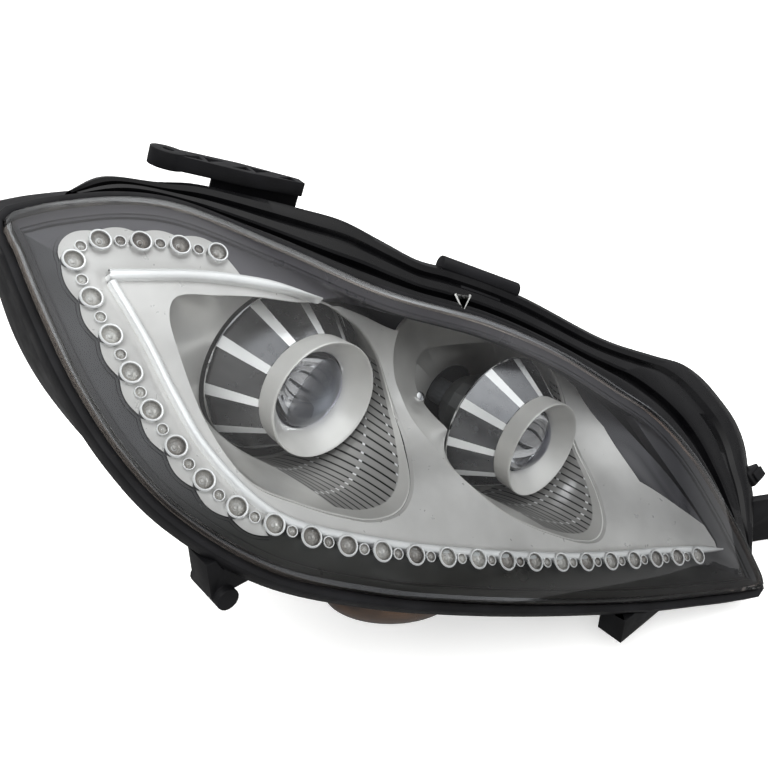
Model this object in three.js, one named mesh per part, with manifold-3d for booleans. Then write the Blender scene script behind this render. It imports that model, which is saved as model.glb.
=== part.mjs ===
// Car headlight for the right-hand side of a car, with two projector units, in millimetres.
// The lamp's own axes: +X inboard, -Y the way the beams shine, +Z up, zero on the low beam's
// axis at the front edge of its trim ring. The root group moves that zero to the upper arm's
// bolting face, which is the origin of the whole part.
import * as THREE from 'three';
import { mergeVertices } from 'three/addons/utils/BufferGeometryUtils.js';
import Module from 'manifold-3d';

const wasm = await Module();
wasm.setup();

// ---------------------------------------------------------------- driving dimensions
const degrees = THREE.MathUtils.degToRad;
const RAKE = degrees(45);          // how far the glazed face leans back
const SWEEP = degrees(6.5);        // how far its inboard end lies back in plan
const FACE_AHEAD = 58;             // from the low beam's trim ring forward to the bezel's face
const GAP = 0.4;                   // air between neighbouring pieces
const WALL = 3;                    // housing wall
const SKIN = 2;                    // thin mouldings
const LOW = new THREE.Vector3(0, 0, 0);
const HIGH = new THREE.Vector3(169.4, -90.3, -77.6);
const HIGH_SCALE = 0.9;            // the high beam unit is the low one, a size smaller
const RING_R = 50;                 // outer radius of the low beam's trim ring
const PIVOT_Y = 68;                // swivel and tilt axes, behind the ring's front edge
const FRAME_Y = [82, 88];          // the tilt frame's front and back planes
const BOWL_END = { r: 79, y: 60 }; // where each eye's bowl ends around its unit
const BOWL_LIP = 10;               // the least depth of a bowl, where the bezel sinks to its back
const REAR_LOW_Y = 168;            // housing's back plane behind the low beam
const REAR_HIGH_Y = 78;            // and behind the high beam
const STEP_X = 108;                // where the back steps from one to the other
const LED_COUNT = 28;
const LED_R = 6.9;
const UPPER_BOSS = new THREE.Vector3(-32, 132, 176);   // on the upper arm's bolting face, by its bore

// ---------------------------------------------------------------- solids
// A closed geometry as a solid. One whose faces point inwards is turned the right way out.
function toSolid(geometry) {
  const bare = geometry.clone();
  bare.deleteAttribute('normal');
  bare.deleteAttribute('uv');
  const merged = mergeVertices(bare, 1e-4);
  const vertProperties = new Float32Array(merged.attributes.position.array);
  const triVerts = new Uint32Array(merged.index.array);
  const solid = new wasm.Manifold(new wasm.Mesh({ numProp: 3, vertProperties, triVerts }));
  if (solid.volume() > 0) return solid;
  return new wasm.Manifold(new wasm.Mesh({ numProp: 3, vertProperties, triVerts: triVerts.reverse() }));
}

function toGeometry(solid) {
  const mesh = solid.getMesh();
  const geometry = new THREE.BufferGeometry();
  geometry.setAttribute('position', new THREE.BufferAttribute(mesh.vertProperties, 3));
  geometry.setIndex(new THREE.BufferAttribute(mesh.triVerts, 1));
  geometry.computeVertexNormals();
  return geometry;
}

const cut = (base, ...tools) => tools.reduce((left, tool) => left.subtract(toSolid(tool)), base);
const join = (base, ...others) => others.reduce((sum, other) => sum.add(toSolid(other)), base);

function box(sizes, centre) {
  const geometry = new THREE.BoxGeometry(...sizes);
  geometry.translate(...centre);
  return geometry;
}

function rod(radius, from, to, segments = 20) {
  const a = new THREE.Vector3(...from);
  const span = new THREE.Vector3(...to).sub(a);
  const geometry = new THREE.CylinderGeometry(radius, radius, span.length(), segments);
  geometry.translate(0, span.length() / 2, 0);
  geometry.applyQuaternion(new THREE.Quaternion().setFromUnitVectors(
    new THREE.Vector3(0, 1, 0), span.normalize()));
  geometry.translate(a.x, a.y, a.z);
  return geometry;
}

// A turned solid about Y. The profile lists [radius, y] and closes on itself or ends on the axis.
function turned(profile, segments = 28) {
  const points = profile.map(([r, y]) => new THREE.Vector2(r, y));
  const onAxis = profile[0][0] === 0 && profile.at(-1)[0] === 0;
  if (!onAxis) points.push(points[0].clone());
  return toGeometry(toSolid(new THREE.LatheGeometry(points, segments)));
}

const anticlockwise = (outline) => (THREE.ShapeUtils.isClockWise(outline)
  ? [...outline].reverse() : outline);

function slab(outline, from, to, holes = [], steps = 1) {
  const shape = new THREE.Shape(anticlockwise(outline));
  shape.holes = holes.map((hole) => new THREE.Path(anticlockwise(hole)));
  const geometry = new THREE.ExtrudeGeometry(shape, {
    depth: to - from, steps, bevelEnabled: false,
  });
  geometry.translate(0, 0, from);
  return geometry;
}

// An outline drawn in X and Z, carried straight along the beam.
function alongBeam(outline, front, back, holes = [], steps = 1) {
  const geometry = slab(outline, 0, back - front, holes, steps);
  geometry.rotateX(Math.PI / 2);
  geometry.translate(0, back, 0);
  return geometry;
}

function warp(geometry, move) {
  const places = geometry.attributes.position;
  const point = new THREE.Vector3();
  for (let i = 0; i < places.count; i += 1) {
    point.fromBufferAttribute(places, i);
    move(point);
    places.setXYZ(i, point.x, point.y, point.z);
  }
  return geometry;
}

// ---------------------------------------------------------------- outlines
const flat = (pairs) => pairs.map(([x, y]) => new THREE.Vector2(x, y));

function smooth(pairs, count, closed = true) {
  const curve = new THREE.CatmullRomCurve3(
    pairs.map(([x, y]) => new THREE.Vector3(x, y, 0)), closed, 'centripetal');
  const points = curve.getSpacedPoints(count).map((p) => new THREE.Vector2(p.x, p.y));
  if (closed) points.pop();
  return points;
}

// Moves each point of a closed outline outwards along its own normal.
function grow(outline, distance) {
  const turn = Math.sign(THREE.ShapeUtils.area(outline));
  return outline.map((point, i) => {
    const before = outline[(i + outline.length - 1) % outline.length];
    const after = outline[(i + 1) % outline.length];
    const along = after.clone().sub(before).normalize();
    return new THREE.Vector2(point.x + along.y * distance * turn, point.y - along.x * distance * turn);
  });
}

// A band of even width along an open path.
function band(path, half) {
  const side = (sign) => path.map((point, i) => {
    const before = path[Math.max(i - 1, 0)];
    const after = path[Math.min(i + 1, path.length - 1)];
    const along = after.clone().sub(before).normalize();
    return new THREE.Vector2(point.x - along.y * half * sign, point.y + along.x * half * sign);
  });
  return [...side(1), ...side(-1).reverse()];
}

// The glazed face, drawn in its own plane: across (inboard) and up the rake.
const LENS_EDGE = smooth([
  [-166, 233], [-148, 235], [-125, 233], [-86, 225], [-51, 209], [6, 158], [75, 91], [163, 27],
  [220, -28], [262, -84], [289, -124], [304, -175], [304, -230], [297, -285], [289, -308],
  [270, -301], [215, -273], [158, -243], [58, -184], [-16, -136], [-70, -97], [-130, -42],
  [-166, 20], [-177, 64], [-180, 116], [-175, 175], [-170, 210],
], 48);

// The bright strip runs from its tip above the low beam round the outer corner to the inboard end.
const STRIP_UPPER = [[24, 108], [-8, 132], [-59, 159], [-116, 180]];
const STRIP_LOWER = [
  [-121, 174], [-121, 131], [-124, 87], [-124, 49], [-112, 1], [-97, -24], [-41, -72], [15, -112],
  [94, -162], [148, -192], [222, -230], [278, -262],
];
const OPENING_TOP = [
  [282, -254], [281, -210], [276, -150], [270, -94], [255, -58], [219, -23], [180, 7], [158, 29],
  [132, 51], [100, 66], [68, 88], [44, 103],
];
const STRIP_PATH = [...smooth(STRIP_UPPER, 8, false), ...smooth(STRIP_LOWER, 24, false)];
const OPENING = [...STRIP_PATH, ...smooth(OPENING_TOP, 20, false)];
const LED_PATH = new THREE.CatmullRomCurve3([
  [-38, 170], [-62, 184], [-89, 196], [-120, 206], [-136, 202], [-140, 180], [-143, 126],
  [-144, 69], [-131, 10], [-95, -36], [-51, -74], [20, -122], [90, -166], [165, -208], [241, -248],
].map(([u, v]) => new THREE.Vector3(u, v, 0)), false, 'centripetal');

// The two eyes, seen straight down the beams: X and Z.
const LOW_EYE = smooth([
  [20, 70], [35, 57], [52, 38], [66, 4], [63, -22], [53, -31], [31, -37], [8, -45], [-9, -47],
  [-33, -42], [-55, -31], [-80, -15], [-108, 8], [-117, 40], [-112, 80], [-106, 98], [-96, 105],
  [-64, 98], [-33, 89], [-4, 78],
], 40);
const HIGH_EYE = smooth([
  [112, 33], [93, 26], [83, 10], [77, -10], [74, -24], [64, -39], [62, -48], [71, -66], [88, -85],
  [119, -108], [145, -123], [164, -129], [180, -127], [196, -119], [212, -108], [226, -90],
  [235, -64], [228, -35], [201, -7], [157, 14],
], 40);

// ---------------------------------------------------------------- the face's own place
const face = new THREE.Group();
face.name = 'face';
face.position.set(0, -FACE_AHEAD, 0);
face.rotation.set(RAKE, 0, SWEEP, 'ZXY');
face.updateMatrix();
const TO_FACE = face.matrix.clone().invert();
const onFace = (geometry) => geometry.clone().applyMatrix4(TO_FACE);
const fromFace = (u, v, w) => new THREE.Vector3(u, v, w).applyMatrix4(face.matrix);

// Height of the inner bezel above the face's plane. It sinks to a valley between the eyes and
// to a hollow inboard of the high beam.
const HOLLOWS = [
  { u: 75, v: 20, reachU: 55, reachV: 45, depth: 44 },
  { u: 218, v: -88, reachU: 45, reachV: 50, depth: 30 },
];
const BEZEL_TOP = -4;
function bezelHeight(u, v) {
  return HOLLOWS.reduce((height, hollow) => {
    const a = (u - hollow.u) / hollow.reachU;
    const b = (v - hollow.v) / hollow.reachV;
    return height - hollow.depth * Math.exp(-(a * a + b * b) / 2);
  }, BEZEL_TOP);
}

// ---------------------------------------------------------------- materials and assembly
const root = new THREE.Group();
root.name = 'headlight';
const lamp = new THREE.Group();
lamp.name = 'lamp';
lamp.position.copy(UPPER_BOSS).negate();
root.add(lamp);
lamp.add(face);

const looks = {
  blackPlastic: [0x1c1c1e, 0.5, 0.0],
  glossBlack: [0x0c0c0e, 0.18, 0.0],
  clear: [0xdfe5e8, 0.05, 0.0],
  rubber: [0x141414, 0.8, 0.0],
  smoked: [0x56545a, 0.35, 0.2],
  satin: [0xb4b2b0, 0.35, 0.8],
  chrome: [0xe6e8ea, 0.08, 1.0],
  darkSatin: [0x6f6d6c, 0.4, 0.7],
  board: [0x24402c, 0.6, 0.1],
  steel: [0x9a9da0, 0.4, 1.0],
  aluminium: [0xb8bcc0, 0.35, 1.0],
  greyPlastic: [0x6c6e70, 0.55, 0.0],
  brown: [0x4a3b31, 0.2, 0.1],
  ceramic: [0xd8d2c4, 0.5, 0.0],
  paleGrey: [0xb9bab8, 0.55, 0.0],
};

function piece(parent, name, shape, look) {
  const [color, roughness, metalness] = looks[look];
  const geometry = shape.isBufferGeometry ? shape : toGeometry(shape);
  const mesh = new THREE.Mesh(geometry, new THREE.MeshStandardMaterial({ color, roughness, metalness }));
  mesh.name = name;
  parent.add(mesh);
  return mesh;
}

// ---------------------------------------------------------------- housing
const RIM_OUT = 9;                  // the rim's outside, beyond the lens edge
const RIM = { back: -8, floor: -2, lip: 7, ledge: -6, groove: 2 };
const BACK = { centreX: 30, centreZ: 10, scaleX: 0.86, scaleZ: 0.84 };

// The bowl of the housing: the face's outline is carried back along the beams, and rounds in
// to a smaller outline at the back plane.
function housingBlock(outline, backY) {
  const geometry = slab(outline, 0, 1, [], 3);
  return warp(geometry, (p) => {
    const t = Math.sin(p.z * Math.PI / 2);
    const front = fromFace(p.x, p.y, RIM.floor);
    const inward = t ** 4;
    p.x = front.x + (BACK.centreX + (front.x - BACK.centreX) * BACK.scaleX - front.x) * inward;
    p.z = front.z + (BACK.centreZ + (front.z - BACK.centreZ) * BACK.scaleZ - front.z) * inward;
    p.y = front.y + (backY - front.y) * t;
  });
}

function beyond(x, y) {
  return box([400, 400, 800], [x + 200, y + 200, 0]);
}

function housingShell() {
  const outer = cut(toSolid(housingBlock(grow(LENS_EDGE, RIM_OUT - WALL), REAR_LOW_Y)),
    beyond(STEP_X, REAR_HIGH_Y));
  const inner = cut(toSolid(housingBlock(grow(LENS_EDGE, RIM_OUT - 2 * WALL), REAR_LOW_Y - WALL)),
    beyond(STEP_X - WALL, REAR_HIGH_Y - WALL));
  const mouth = slab(grow(LENS_EDGE, RIM_OUT - 2 * WALL), -3, 3);
  mouth.applyMatrix4(face.matrix);
  const lip = toSolid(slab(grow(LENS_EDGE, RIM_OUT), RIM.back, RIM.lip, [grow(LENS_EDGE, RIM.groove)]));
  const floor = toSolid(slab(grow(LENS_EDGE, RIM_OUT), RIM.back, RIM.floor, [grow(LENS_EDGE, RIM.ledge)]));
  const rim = toGeometry(lip.add(floor)).applyMatrix4(face.matrix);
  let shell = join(cut(outer.subtract(inner), mouth), rim);
  for (const port of PORTS) {
    const [x, y, z] = port.place;
    shell = join(shell, rod(port.r + WALL, [x, y - WALL, z], [x, y + port.collar, z], port.sides));
    shell = cut(shell, rod(port.r, [x, y - 30, z], [x, y + 30, z], port.sides));
  }
  return shell;
}

// Round openings in the back wall, each with a short collar.
const PLUNGER = { x: 28, z: -62 };
const VENT = { x: 60, z: 62 };
const SOCKET = { x: -62, z: 84 };
const ADJUSTERS = [
  { name: 'vertical_adjuster', x: -52, z: 52 },
  { name: 'horizontal_adjuster', x: 58, z: -30 },
];
const CAPS = [
  { name: 'low_beam', place: [LOW.x, REAR_LOW_Y, LOW.z], r: 42 },
  { name: 'high_beam', place: [HIGH.x, REAR_HIGH_Y, HIGH.z], r: 34 },
];
const PORTS = [
  ...CAPS.map((cap) => ({ place: cap.place, r: cap.r, collar: 9, sides: 20 })),
  { place: [PLUNGER.x, REAR_LOW_Y, PLUNGER.z], r: 9, collar: 3, sides: 10 },
  { place: [VENT.x, REAR_LOW_Y, VENT.z], r: 6, collar: 4, sides: 10 },
  { place: [SOCKET.x, REAR_LOW_Y, SOCKET.z], r: 8, collar: 1, sides: 10 },
  ...ADJUSTERS.map((screw) => ({ place: [screw.x, REAR_LOW_Y, screw.z], r: 5, collar: 5, sides: 8 })),
];
piece(lamp, 'housing_shell', housingShell(), 'blackPlastic');

// Gloss shroud that carries the face on under the bonnet, above and inboard of the lens.
const SHROUD_TOP = -0.6;
const SHROUD_EDGE = smooth([
  [-112, 251], [-84, 257], [-46, 243], [-20, 236], [22, 214], [60, 192], [94, 170], [123, 138],
  [146, 112], [176, 92], [237, 42], [312, -38], [370, -81], [408, -108], [424, -132], [431, -160],
  [433, -190], [424, -214], [404, -236], [385, -258], [352, -280], [322, -296], [304, -304],
], 28, false);
function upperShroud() {
  const inner = grow(LENS_EDGE, RIM_OUT + GAP);
  const start = nearest(inner, SHROUD_EDGE[0]);
  const end = nearest(inner, SHROUD_EDGE.at(-1));
  const lower = [];
  for (let i = end; i !== start; i = (i + inner.length - 1) % inner.length) lower.push(inner[i]);
  lower.push(inner[start]);
  const sheet = slab([...SHROUD_EDGE, ...lower], SHROUD_TOP - SKIN, SHROUD_TOP);
  return cut(toSolid(sheet), slab(grow(LENS_EDGE, RIM_OUT + GAP - 0.02), -20, 20));
}

function nearest(outline, point) {
  const spans = outline.map((p) => p.distanceTo(point));
  return spans.indexOf(Math.min(...spans));
}
piece(face, 'upper_shroud', upperShroud(), 'glossBlack');

// ---------------------------------------------------------------- lens and seal
const LENS_FOOT = 3.9;
const LENS_SHOULDER = 12;
const LENS_CROWN = 22;
const LENS_HEART = new THREE.Vector2(48, -20);

// A dome that follows the face's outline: the lathe's radius runs from the heart to the edge.
function lensCover() {
  const outline = grow(LENS_EDGE, 1.4);
  const height = (r) => LENS_SHOULDER + LENS_CROWN * (1 - r ** 2.2);
  const radii = [0, 0.3, 0.55, 0.78, 1];
  const outside = radii.map((r) => [r, height(r)]);
  const inside = radii.map((r) => [r * 0.985, height(r) - WALL]).reverse();
  const profile = [...outside, [1, LENS_FOOT], [0.985, LENS_FOOT], ...inside];
  const points = profile.map(([r, h]) => new THREE.Vector2(r, h));
  const geometry = new THREE.LatheGeometry(points, outline.length);
  warp(geometry, (p) => {
    const radius = Math.hypot(p.x, p.z);
    const share = (Math.atan2(p.x, p.z) / (2 * Math.PI) + 1) % 1;
    const index = Math.round(share * outline.length) % outline.length;
    const target = outline[index];
    const high = p.y;
    p.x = LENS_HEART.x + (target.x - LENS_HEART.x) * radius;
    p.y = LENS_HEART.y + (target.y - LENS_HEART.y) * radius;
    p.z = high;
  });
  return toSolid(geometry);
}
piece(face, 'lens_cover', lensCover(), 'clear');
piece(face, 'lens_seal', slab(grow(LENS_EDGE, RIM.groove - 1), RIM.floor + GAP, LENS_FOOT - GAP,
  [grow(LENS_EDGE, RIM.ledge + SKIN)]), 'rubber');

// ---------------------------------------------------------------- bezel, strip and lamps of the edge
const LED_PLACES = Array.from({ length: LED_COUNT }, (_, i) => LED_PATH.getPointAt(i / (LED_COUNT - 1)));
const ledBand = (half) => band(
  LED_PATH.getSpacedPoints(34).map((p) => new THREE.Vector2(p.x, p.y)), half);
const STRIP_HALF = 2.6;
const WINDOW_R = 4.6;              // hole in the bezel behind each little lens
function outerBezel() {
  const windows = LED_PLACES.map(({ x, y }) => rod(WINDOW_R, [x, y, -9], [x, y, 0], 6));
  return cut(toSolid(slab(grow(LENS_EDGE, RIM.ledge - SKIN), BEZEL_TOP - 1.4, BEZEL_TOP + 0.6)),
    slab(grow(OPENING, STRIP_HALF + GAP), -9, 0), ...windows);
}
piece(face, 'outer_bezel', outerBezel(), 'smoked');

const LED_TOP = 4.6;
const LED_FOOT = -2.8;
function ledLensStrip() {
  let strip = toSolid(slab(ledBand(5), LED_FOOT, LED_FOOT / 2));
  for (const place of LED_PLACES) {
    const dome = turned([[0, LED_TOP], [WINDOW_R, 3], [LED_R, LED_FOOT], [0, LED_FOOT]], 6);
    dome.rotateX(Math.PI / 2);
    dome.translate(place.x, place.y, 0);
    strip = join(strip, dome);
  }
  return cut(strip, slab(band(STRIP_PATH, STRIP_HALF + GAP), -8, 8));
}
piece(face, 'led_lens_strip', ledLensStrip(), 'clear');

const BOARD = { top: -8.6, thick: 1.4, half: 4, chip: 3, chipHeight: 1.9 };
function ledBoard() {
  let board = toSolid(slab(ledBand(BOARD.half), BOARD.top - BOARD.thick, BOARD.top));
  for (const place of LED_PLACES) {
    board = join(board, box([BOARD.chip, BOARD.chip, BOARD.chipHeight],
      [place.x, place.y, BOARD.top + BOARD.chipHeight / 2 - 0.1]));
  }
  return board;
}
piece(face, 'led_board', ledBoard(), 'board');
piece(face, 'chrome_strip', slab(band(STRIP_PATH, STRIP_HALF), BEZEL_TOP - SKIN, 3), 'chrome');

const SMOKED_EDGE = flat([
  [222, -10], [247, -66], [251, -119], [243, -168], [300, -262], [340, -200], [300, -20],
]);
function bezelSheet(lift, thickness) {
  const geometry = new THREE.BoxGeometry(440, 480, thickness, 12, 13, 1);
  geometry.translate(85, -42, 0);
  return warp(geometry, (p) => {
    p.z += bezelHeight(p.x, p.y) + lift - thickness / 2;
  });
}

function eyeHole(outline, outwards) {
  return onFace(alongBeam(grow(outline, outwards), -260, 120));
}

const INSIDE = slab(grow(OPENING, -STRIP_HALF - GAP), -80, 10);
function innerBezel() {
  const sheet = toSolid(bezelSheet(0, SKIN)).intersect(toSolid(INSIDE));
  return cut(sheet, eyeHole(LOW_EYE, GAP), eyeHole(HIGH_EYE, GAP), slab(SMOKED_EDGE, -80, 10));
}
piece(face, 'inner_bezel', innerBezel(), 'satin');

function smokedPanel() {
  const within = toSolid(INSIDE).intersect(toSolid(slab(grow(SMOKED_EDGE, -GAP), -80, 10)));
  const sheet = toSolid(bezelSheet(-1, SKIN)).intersect(within);
  return cut(sheet, eyeHole(HIGH_EYE, GAP));
}
piece(face, 'smoked_panel', smokedPanel(), 'smoked');

// ---------------------------------------------------------------- eyes
// Each eye is a bowl from its rim on the bezel back to a circle around its unit. The lower
// inboard part of the bowl is a slotted panel of its own.
function bowl(outline, axis, scale) {
  const rim = -2 * GAP;
  const geometry = alongBeam(grow(outline, rim), 0, 1, [grow(outline, rim - SKIN)], 3);
  const endR = BOWL_END.r * scale;
  return toSolid(warp(geometry, (p) => {
    const away = new THREE.Vector2(p.x - axis.x, p.z - axis.z);
    const angle = Math.atan2(away.y, away.x);
    const isOuter = away.length() > rimReach(outline, axis, angle, rim - SKIN / 2);
    const frontY = rimDepth(p.x, p.z);
    const endY = Math.max(axis.y + BOWL_END.y * scale, frontY + BOWL_LIP);
    const t = p.y;
    const inward = t ** 2.2;
    const end = endR + (isOuter ? SKIN : 0);
    p.x += (axis.x + end * Math.cos(angle) - p.x) * inward;
    p.z += (axis.z + end * Math.sin(angle) - p.z) * inward;
    p.y = frontY + (endY - frontY) * t;
  }));
}

// Distance from the axis to the grown outline in one direction.
function rimReach(outline, axis, angle, distance) {
  const edge = grow(outline, distance);
  const dir = new THREE.Vector2(Math.cos(angle), Math.sin(angle));
  let reach = 0;
  edge.forEach((a, i) => {
    const b = edge[(i + 1) % edge.length];
    const span = b.clone().sub(a);
    const from = new THREE.Vector2(a.x - axis.x, a.y - axis.z);
    const cross = dir.cross(span);
    const along = from.cross(span) / cross;
    const share = from.cross(dir) / cross;
    if (share >= 0 && share <= 1 && along > reach) reach = along;
  });
  return reach;
}

// Where a line along the beam at (x, z) meets the bezel's top surface.
function rimDepth(x, z) {
  let y = -60;
  for (let i = 0; i < 40; i += 1) {
    const local = new THREE.Vector3(x, y, z).applyMatrix4(TO_FACE);
    y += (local.z - bezelHeight(local.x, local.y)) * 0.9;
  }
  return y;
}

function wedge(axis, from, to, reach = 260) {
  const points = [new THREE.Vector2(axis.x, axis.z)];
  for (let i = 0; i <= 6; i += 1) {
    const angle = from + (to - from) * i / 6;
    points.push(new THREE.Vector2(axis.x + reach * Math.cos(angle), axis.z + reach * Math.sin(angle)));
  }
  return alongBeam(points, -300, 200);
}

const EYES = [
  { name: 'low', outline: LOW_EYE, axis: LOW, scale: 1, slots: [degrees(-118), degrees(22)] },
  { name: 'high', outline: HIGH_EYE, axis: HIGH, scale: HIGH_SCALE, slots: [degrees(-112), degrees(10)] },
];
const SLOT_COUNT = 10;
const PANEL_JOINT = 0.006;         // angle of the air left each side of a slotted panel
const SLOT = { reach: 80, along: 62, wide: 1.2, centreR: 62, centreY: -22 };
for (const eye of EYES) {
  const whole = bowl(eye.outline, eye.axis, eye.scale);
  const [from, to] = eye.slots;
  const slotted = toSolid(wedge(eye.axis, from, to));
  let panel = whole.intersect(slotted);
  for (let i = 0; i < SLOT_COUNT; i += 1) {
    const angle = from + (to - from) * (i + 1) / (SLOT_COUNT + 1);
    const slot = box([SLOT.reach, SLOT.along * eye.scale, SLOT.wide],
      [SLOT.centreR * eye.scale, SLOT.centreY * eye.scale, 0]);
    slot.rotateY(-angle);
    slot.translate(eye.axis.x, eye.axis.y, eye.axis.z);
    panel = cut(panel, slot);
  }
  piece(lamp, `${eye.name}_beam_bowl`,
    cut(whole, wedge(eye.axis, from - PANEL_JOINT, to + PANEL_JOINT)), 'satin');
  piece(lamp, `${eye.name}_slotted_panel`, panel, 'darkSatin');
}

// ---------------------------------------------------------------- projector units
const UNIT = {
  ring: [[34, 20], [47, 2], [49.2, 0], [RING_R, 1], [49, 20.4], [34, 22.4]],
  lens: [[0, 2], [12, 4], [22, 9], [29, 15], [32, 20], [33, 23], [33, 25.8], [0, 25.8]],
  drum: [[49.3, 21.2], [72.6, 62.6], [71, 63], [48, 23.8], [41, 25.6], [41, 24], [47.4, 21.8]],
  holder: [
    [31, 26.4], [37, 26.4], [38, 30], [40, 60], [42, 74], [42, 78], [39, 78], [36.5, 60], [34, 32],
    [31, 30],
  ],
  reflector: [
    [40, 78.6], [43.5, 78.6], [40, 100], [30, 118], [15, 128], [13.5, 126], [28.5, 116.5],
    [38.5, 99.5],
  ],
  bulb: [[0, 92], [3.2, 94], [5, 103], [3.2, 112], [4, 116], [4, 128], [0, 128]],
};
const UNIT_LOOKS = {
  ring: 'satin', lens: 'clear', drum: 'chrome', holder: 'aluminium', reflector: 'aluminium', bulb: 'clear',
};
const UNIT_SIDES = { ring: 28, lens: 20, drum: 24, holder: 18, reflector: 18, bulb: 10 };

function beamGroup(name, place) {
  const group = new THREE.Group();
  group.name = `${name}_unit`;
  group.position.copy(place);
  lamp.add(group);
  return group;
}
const units = {
  low_beam: beamGroup('low_beam', LOW),
  high_beam: beamGroup('high_beam', HIGH),
};
for (const [name, group] of Object.entries(units)) {
  const scale = name === 'low_beam' ? 1 : HIGH_SCALE;
  for (const [item, profile] of Object.entries(UNIT)) {
    const sized = profile.map(([r, y]) => [r * scale, y * scale]);
    piece(group, `${name}_${item}`, turned(sized, UNIT_SIDES[item]), UNIT_LOOKS[item]);
  }
}

// Low beam: igniter, shutter with its solenoid, and the yoke that swivels in the tilt frame.
const IGNITER = { wide: 44, deep: 24, y: 144, neckR: 12, neckY: 128 + GAP };
piece(units.low_beam, 'low_beam_igniter', join(
  toSolid(box([IGNITER.wide, IGNITER.deep, IGNITER.wide], [0, IGNITER.y, 0])),
  rod(IGNITER.neckR, [0, IGNITER.neckY, 0], [0, IGNITER.y - IGNITER.deep / 2 + 1, 0])), 'greyPlastic');
const SHUTTER = { y: 71, z: -26, half: 24, tall: 26, thick: 1.2, pinR: 1.4, pinHalf: 20 };
piece(units.low_beam, 'shutter_plate', join(
  toSolid(box([SHUTTER.half * 2, SHUTTER.thick, SHUTTER.tall],
    [0, SHUTTER.y, SHUTTER.z + SHUTTER.tall / 2])),
  rod(SHUTTER.pinR, [-SHUTTER.pinHalf, SHUTTER.y, SHUTTER.z], [SHUTTER.pinHalf, SHUTTER.y, SHUTTER.z],
    10)), 'steel');
const SOLENOID = { r: 7.5, away: 35.4, from: 43, to: 60 };
piece(units.low_beam, 'shutter_solenoid', rod(SOLENOID.r,
  [SOLENOID.away, SOLENOID.from, -SOLENOID.away], [SOLENOID.away, SOLENOID.to, -SOLENOID.away], 18), 'steel');

// A clamp around the holder with two arms and a pin on each.
const YOKE = { inner: 42.6, outer: 46, reach: 79.5, behind: 1.3, half: 3.6, wide: 15, pinR: 3.2, pin: 6 };
function yoke(scale, upright, pivotY) {
  const reach = YOKE.reach * scale;
  const middle = (YOKE.inner + YOKE.outer) / 2 * scale;
  const centre = pivotY + YOKE.behind;
  const [front, back] = [centre - YOKE.half, centre + YOKE.half];
  let solid = toSolid(turned([[YOKE.inner * scale, front], [YOKE.outer * scale, front],
    [YOKE.outer * scale, back], [YOKE.inner * scale, back]], 18));
  for (const sign of [-1, 1]) {
    const bar = box([YOKE.wide, YOKE.half * 2, reach - middle], [0, centre, sign * (reach + middle) / 2]);
    const pin = rod(YOKE.pinR, [0, pivotY, sign * (reach - 1)], [0, pivotY, sign * (reach + YOKE.pin)], 16);
    if (!upright) [bar, pin].forEach((geometry) => geometry.rotateY(Math.PI / 2));
    solid = join(solid, bar, pin);
  }
  return solid;
}
piece(units.low_beam, 'swivel_yoke', yoke(1, true, PIVOT_Y), 'aluminium');
const HIGH_PIVOT_Y = 72 * HIGH_SCALE;
piece(units.high_beam, 'high_beam_yoke', yoke(HIGH_SCALE, false, HIGH_PIVOT_Y), 'aluminium');
piece(units.high_beam, 'high_beam_socket', rod(13, [0, 128 * HIGH_SCALE + GAP, 0], [0, 136, 0]),
  'greyPlastic');

// Tilt frame: a ring with four tabs, bored above and below for the yoke and pinned at the sides.
const HOOP = { inner: 66, outer: 74 };
const TAB = { inner: 82, outer: 86.4, half: 8, ahead: 5, pinR: 3.6, pinEnd: 97 };
function tiltFrame() {
  const [front, back] = FRAME_Y;
  const hoop = (HOOP.inner + HOOP.outer) / 2;
  let frame = toSolid(turned([[HOOP.inner, front], [HOOP.outer, front], [HOOP.outer, back],
    [HOOP.inner, back]], 24));
  for (let i = 0; i < 4; i += 1) {
    const spoke = box([TAB.outer - hoop, back - front, TAB.half * 2],
      [(TAB.outer + hoop) / 2, (front + back) / 2, 0]);
    const arm = box([TAB.outer - TAB.inner, back - PIVOT_Y + TAB.ahead, TAB.half * 2],
      [(TAB.outer + TAB.inner) / 2, (back + PIVOT_Y - TAB.ahead) / 2, 0]);
    [spoke, arm].forEach((geometry) => geometry.rotateY(i * Math.PI / 2));
    frame = join(frame, spoke, arm);
  }
  for (const sign of [-1, 1]) {
    frame = cut(frame, rod(YOKE.pinR + GAP, [0, PIVOT_Y, sign * (TAB.inner - 4)],
      [0, PIVOT_Y, sign * (TAB.outer + 4)], 16));
    frame = join(frame, rod(TAB.pinR, [sign * (TAB.outer - 1), PIVOT_Y, 0],
      [sign * TAB.pinEnd, PIVOT_Y, 0], 16));
  }
  return frame;
}
piece(lamp, 'tilt_frame', tiltFrame(), 'blackPlastic');
const SWIVEL_MOTOR = [44, 22, 18];
piece(lamp, 'swivel_motor', box(SWIVEL_MOTOR, [0, FRAME_Y[1] + GAP + SWIVEL_MOTOR[1] / 2, 68]),
  'greyPlastic');

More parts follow.
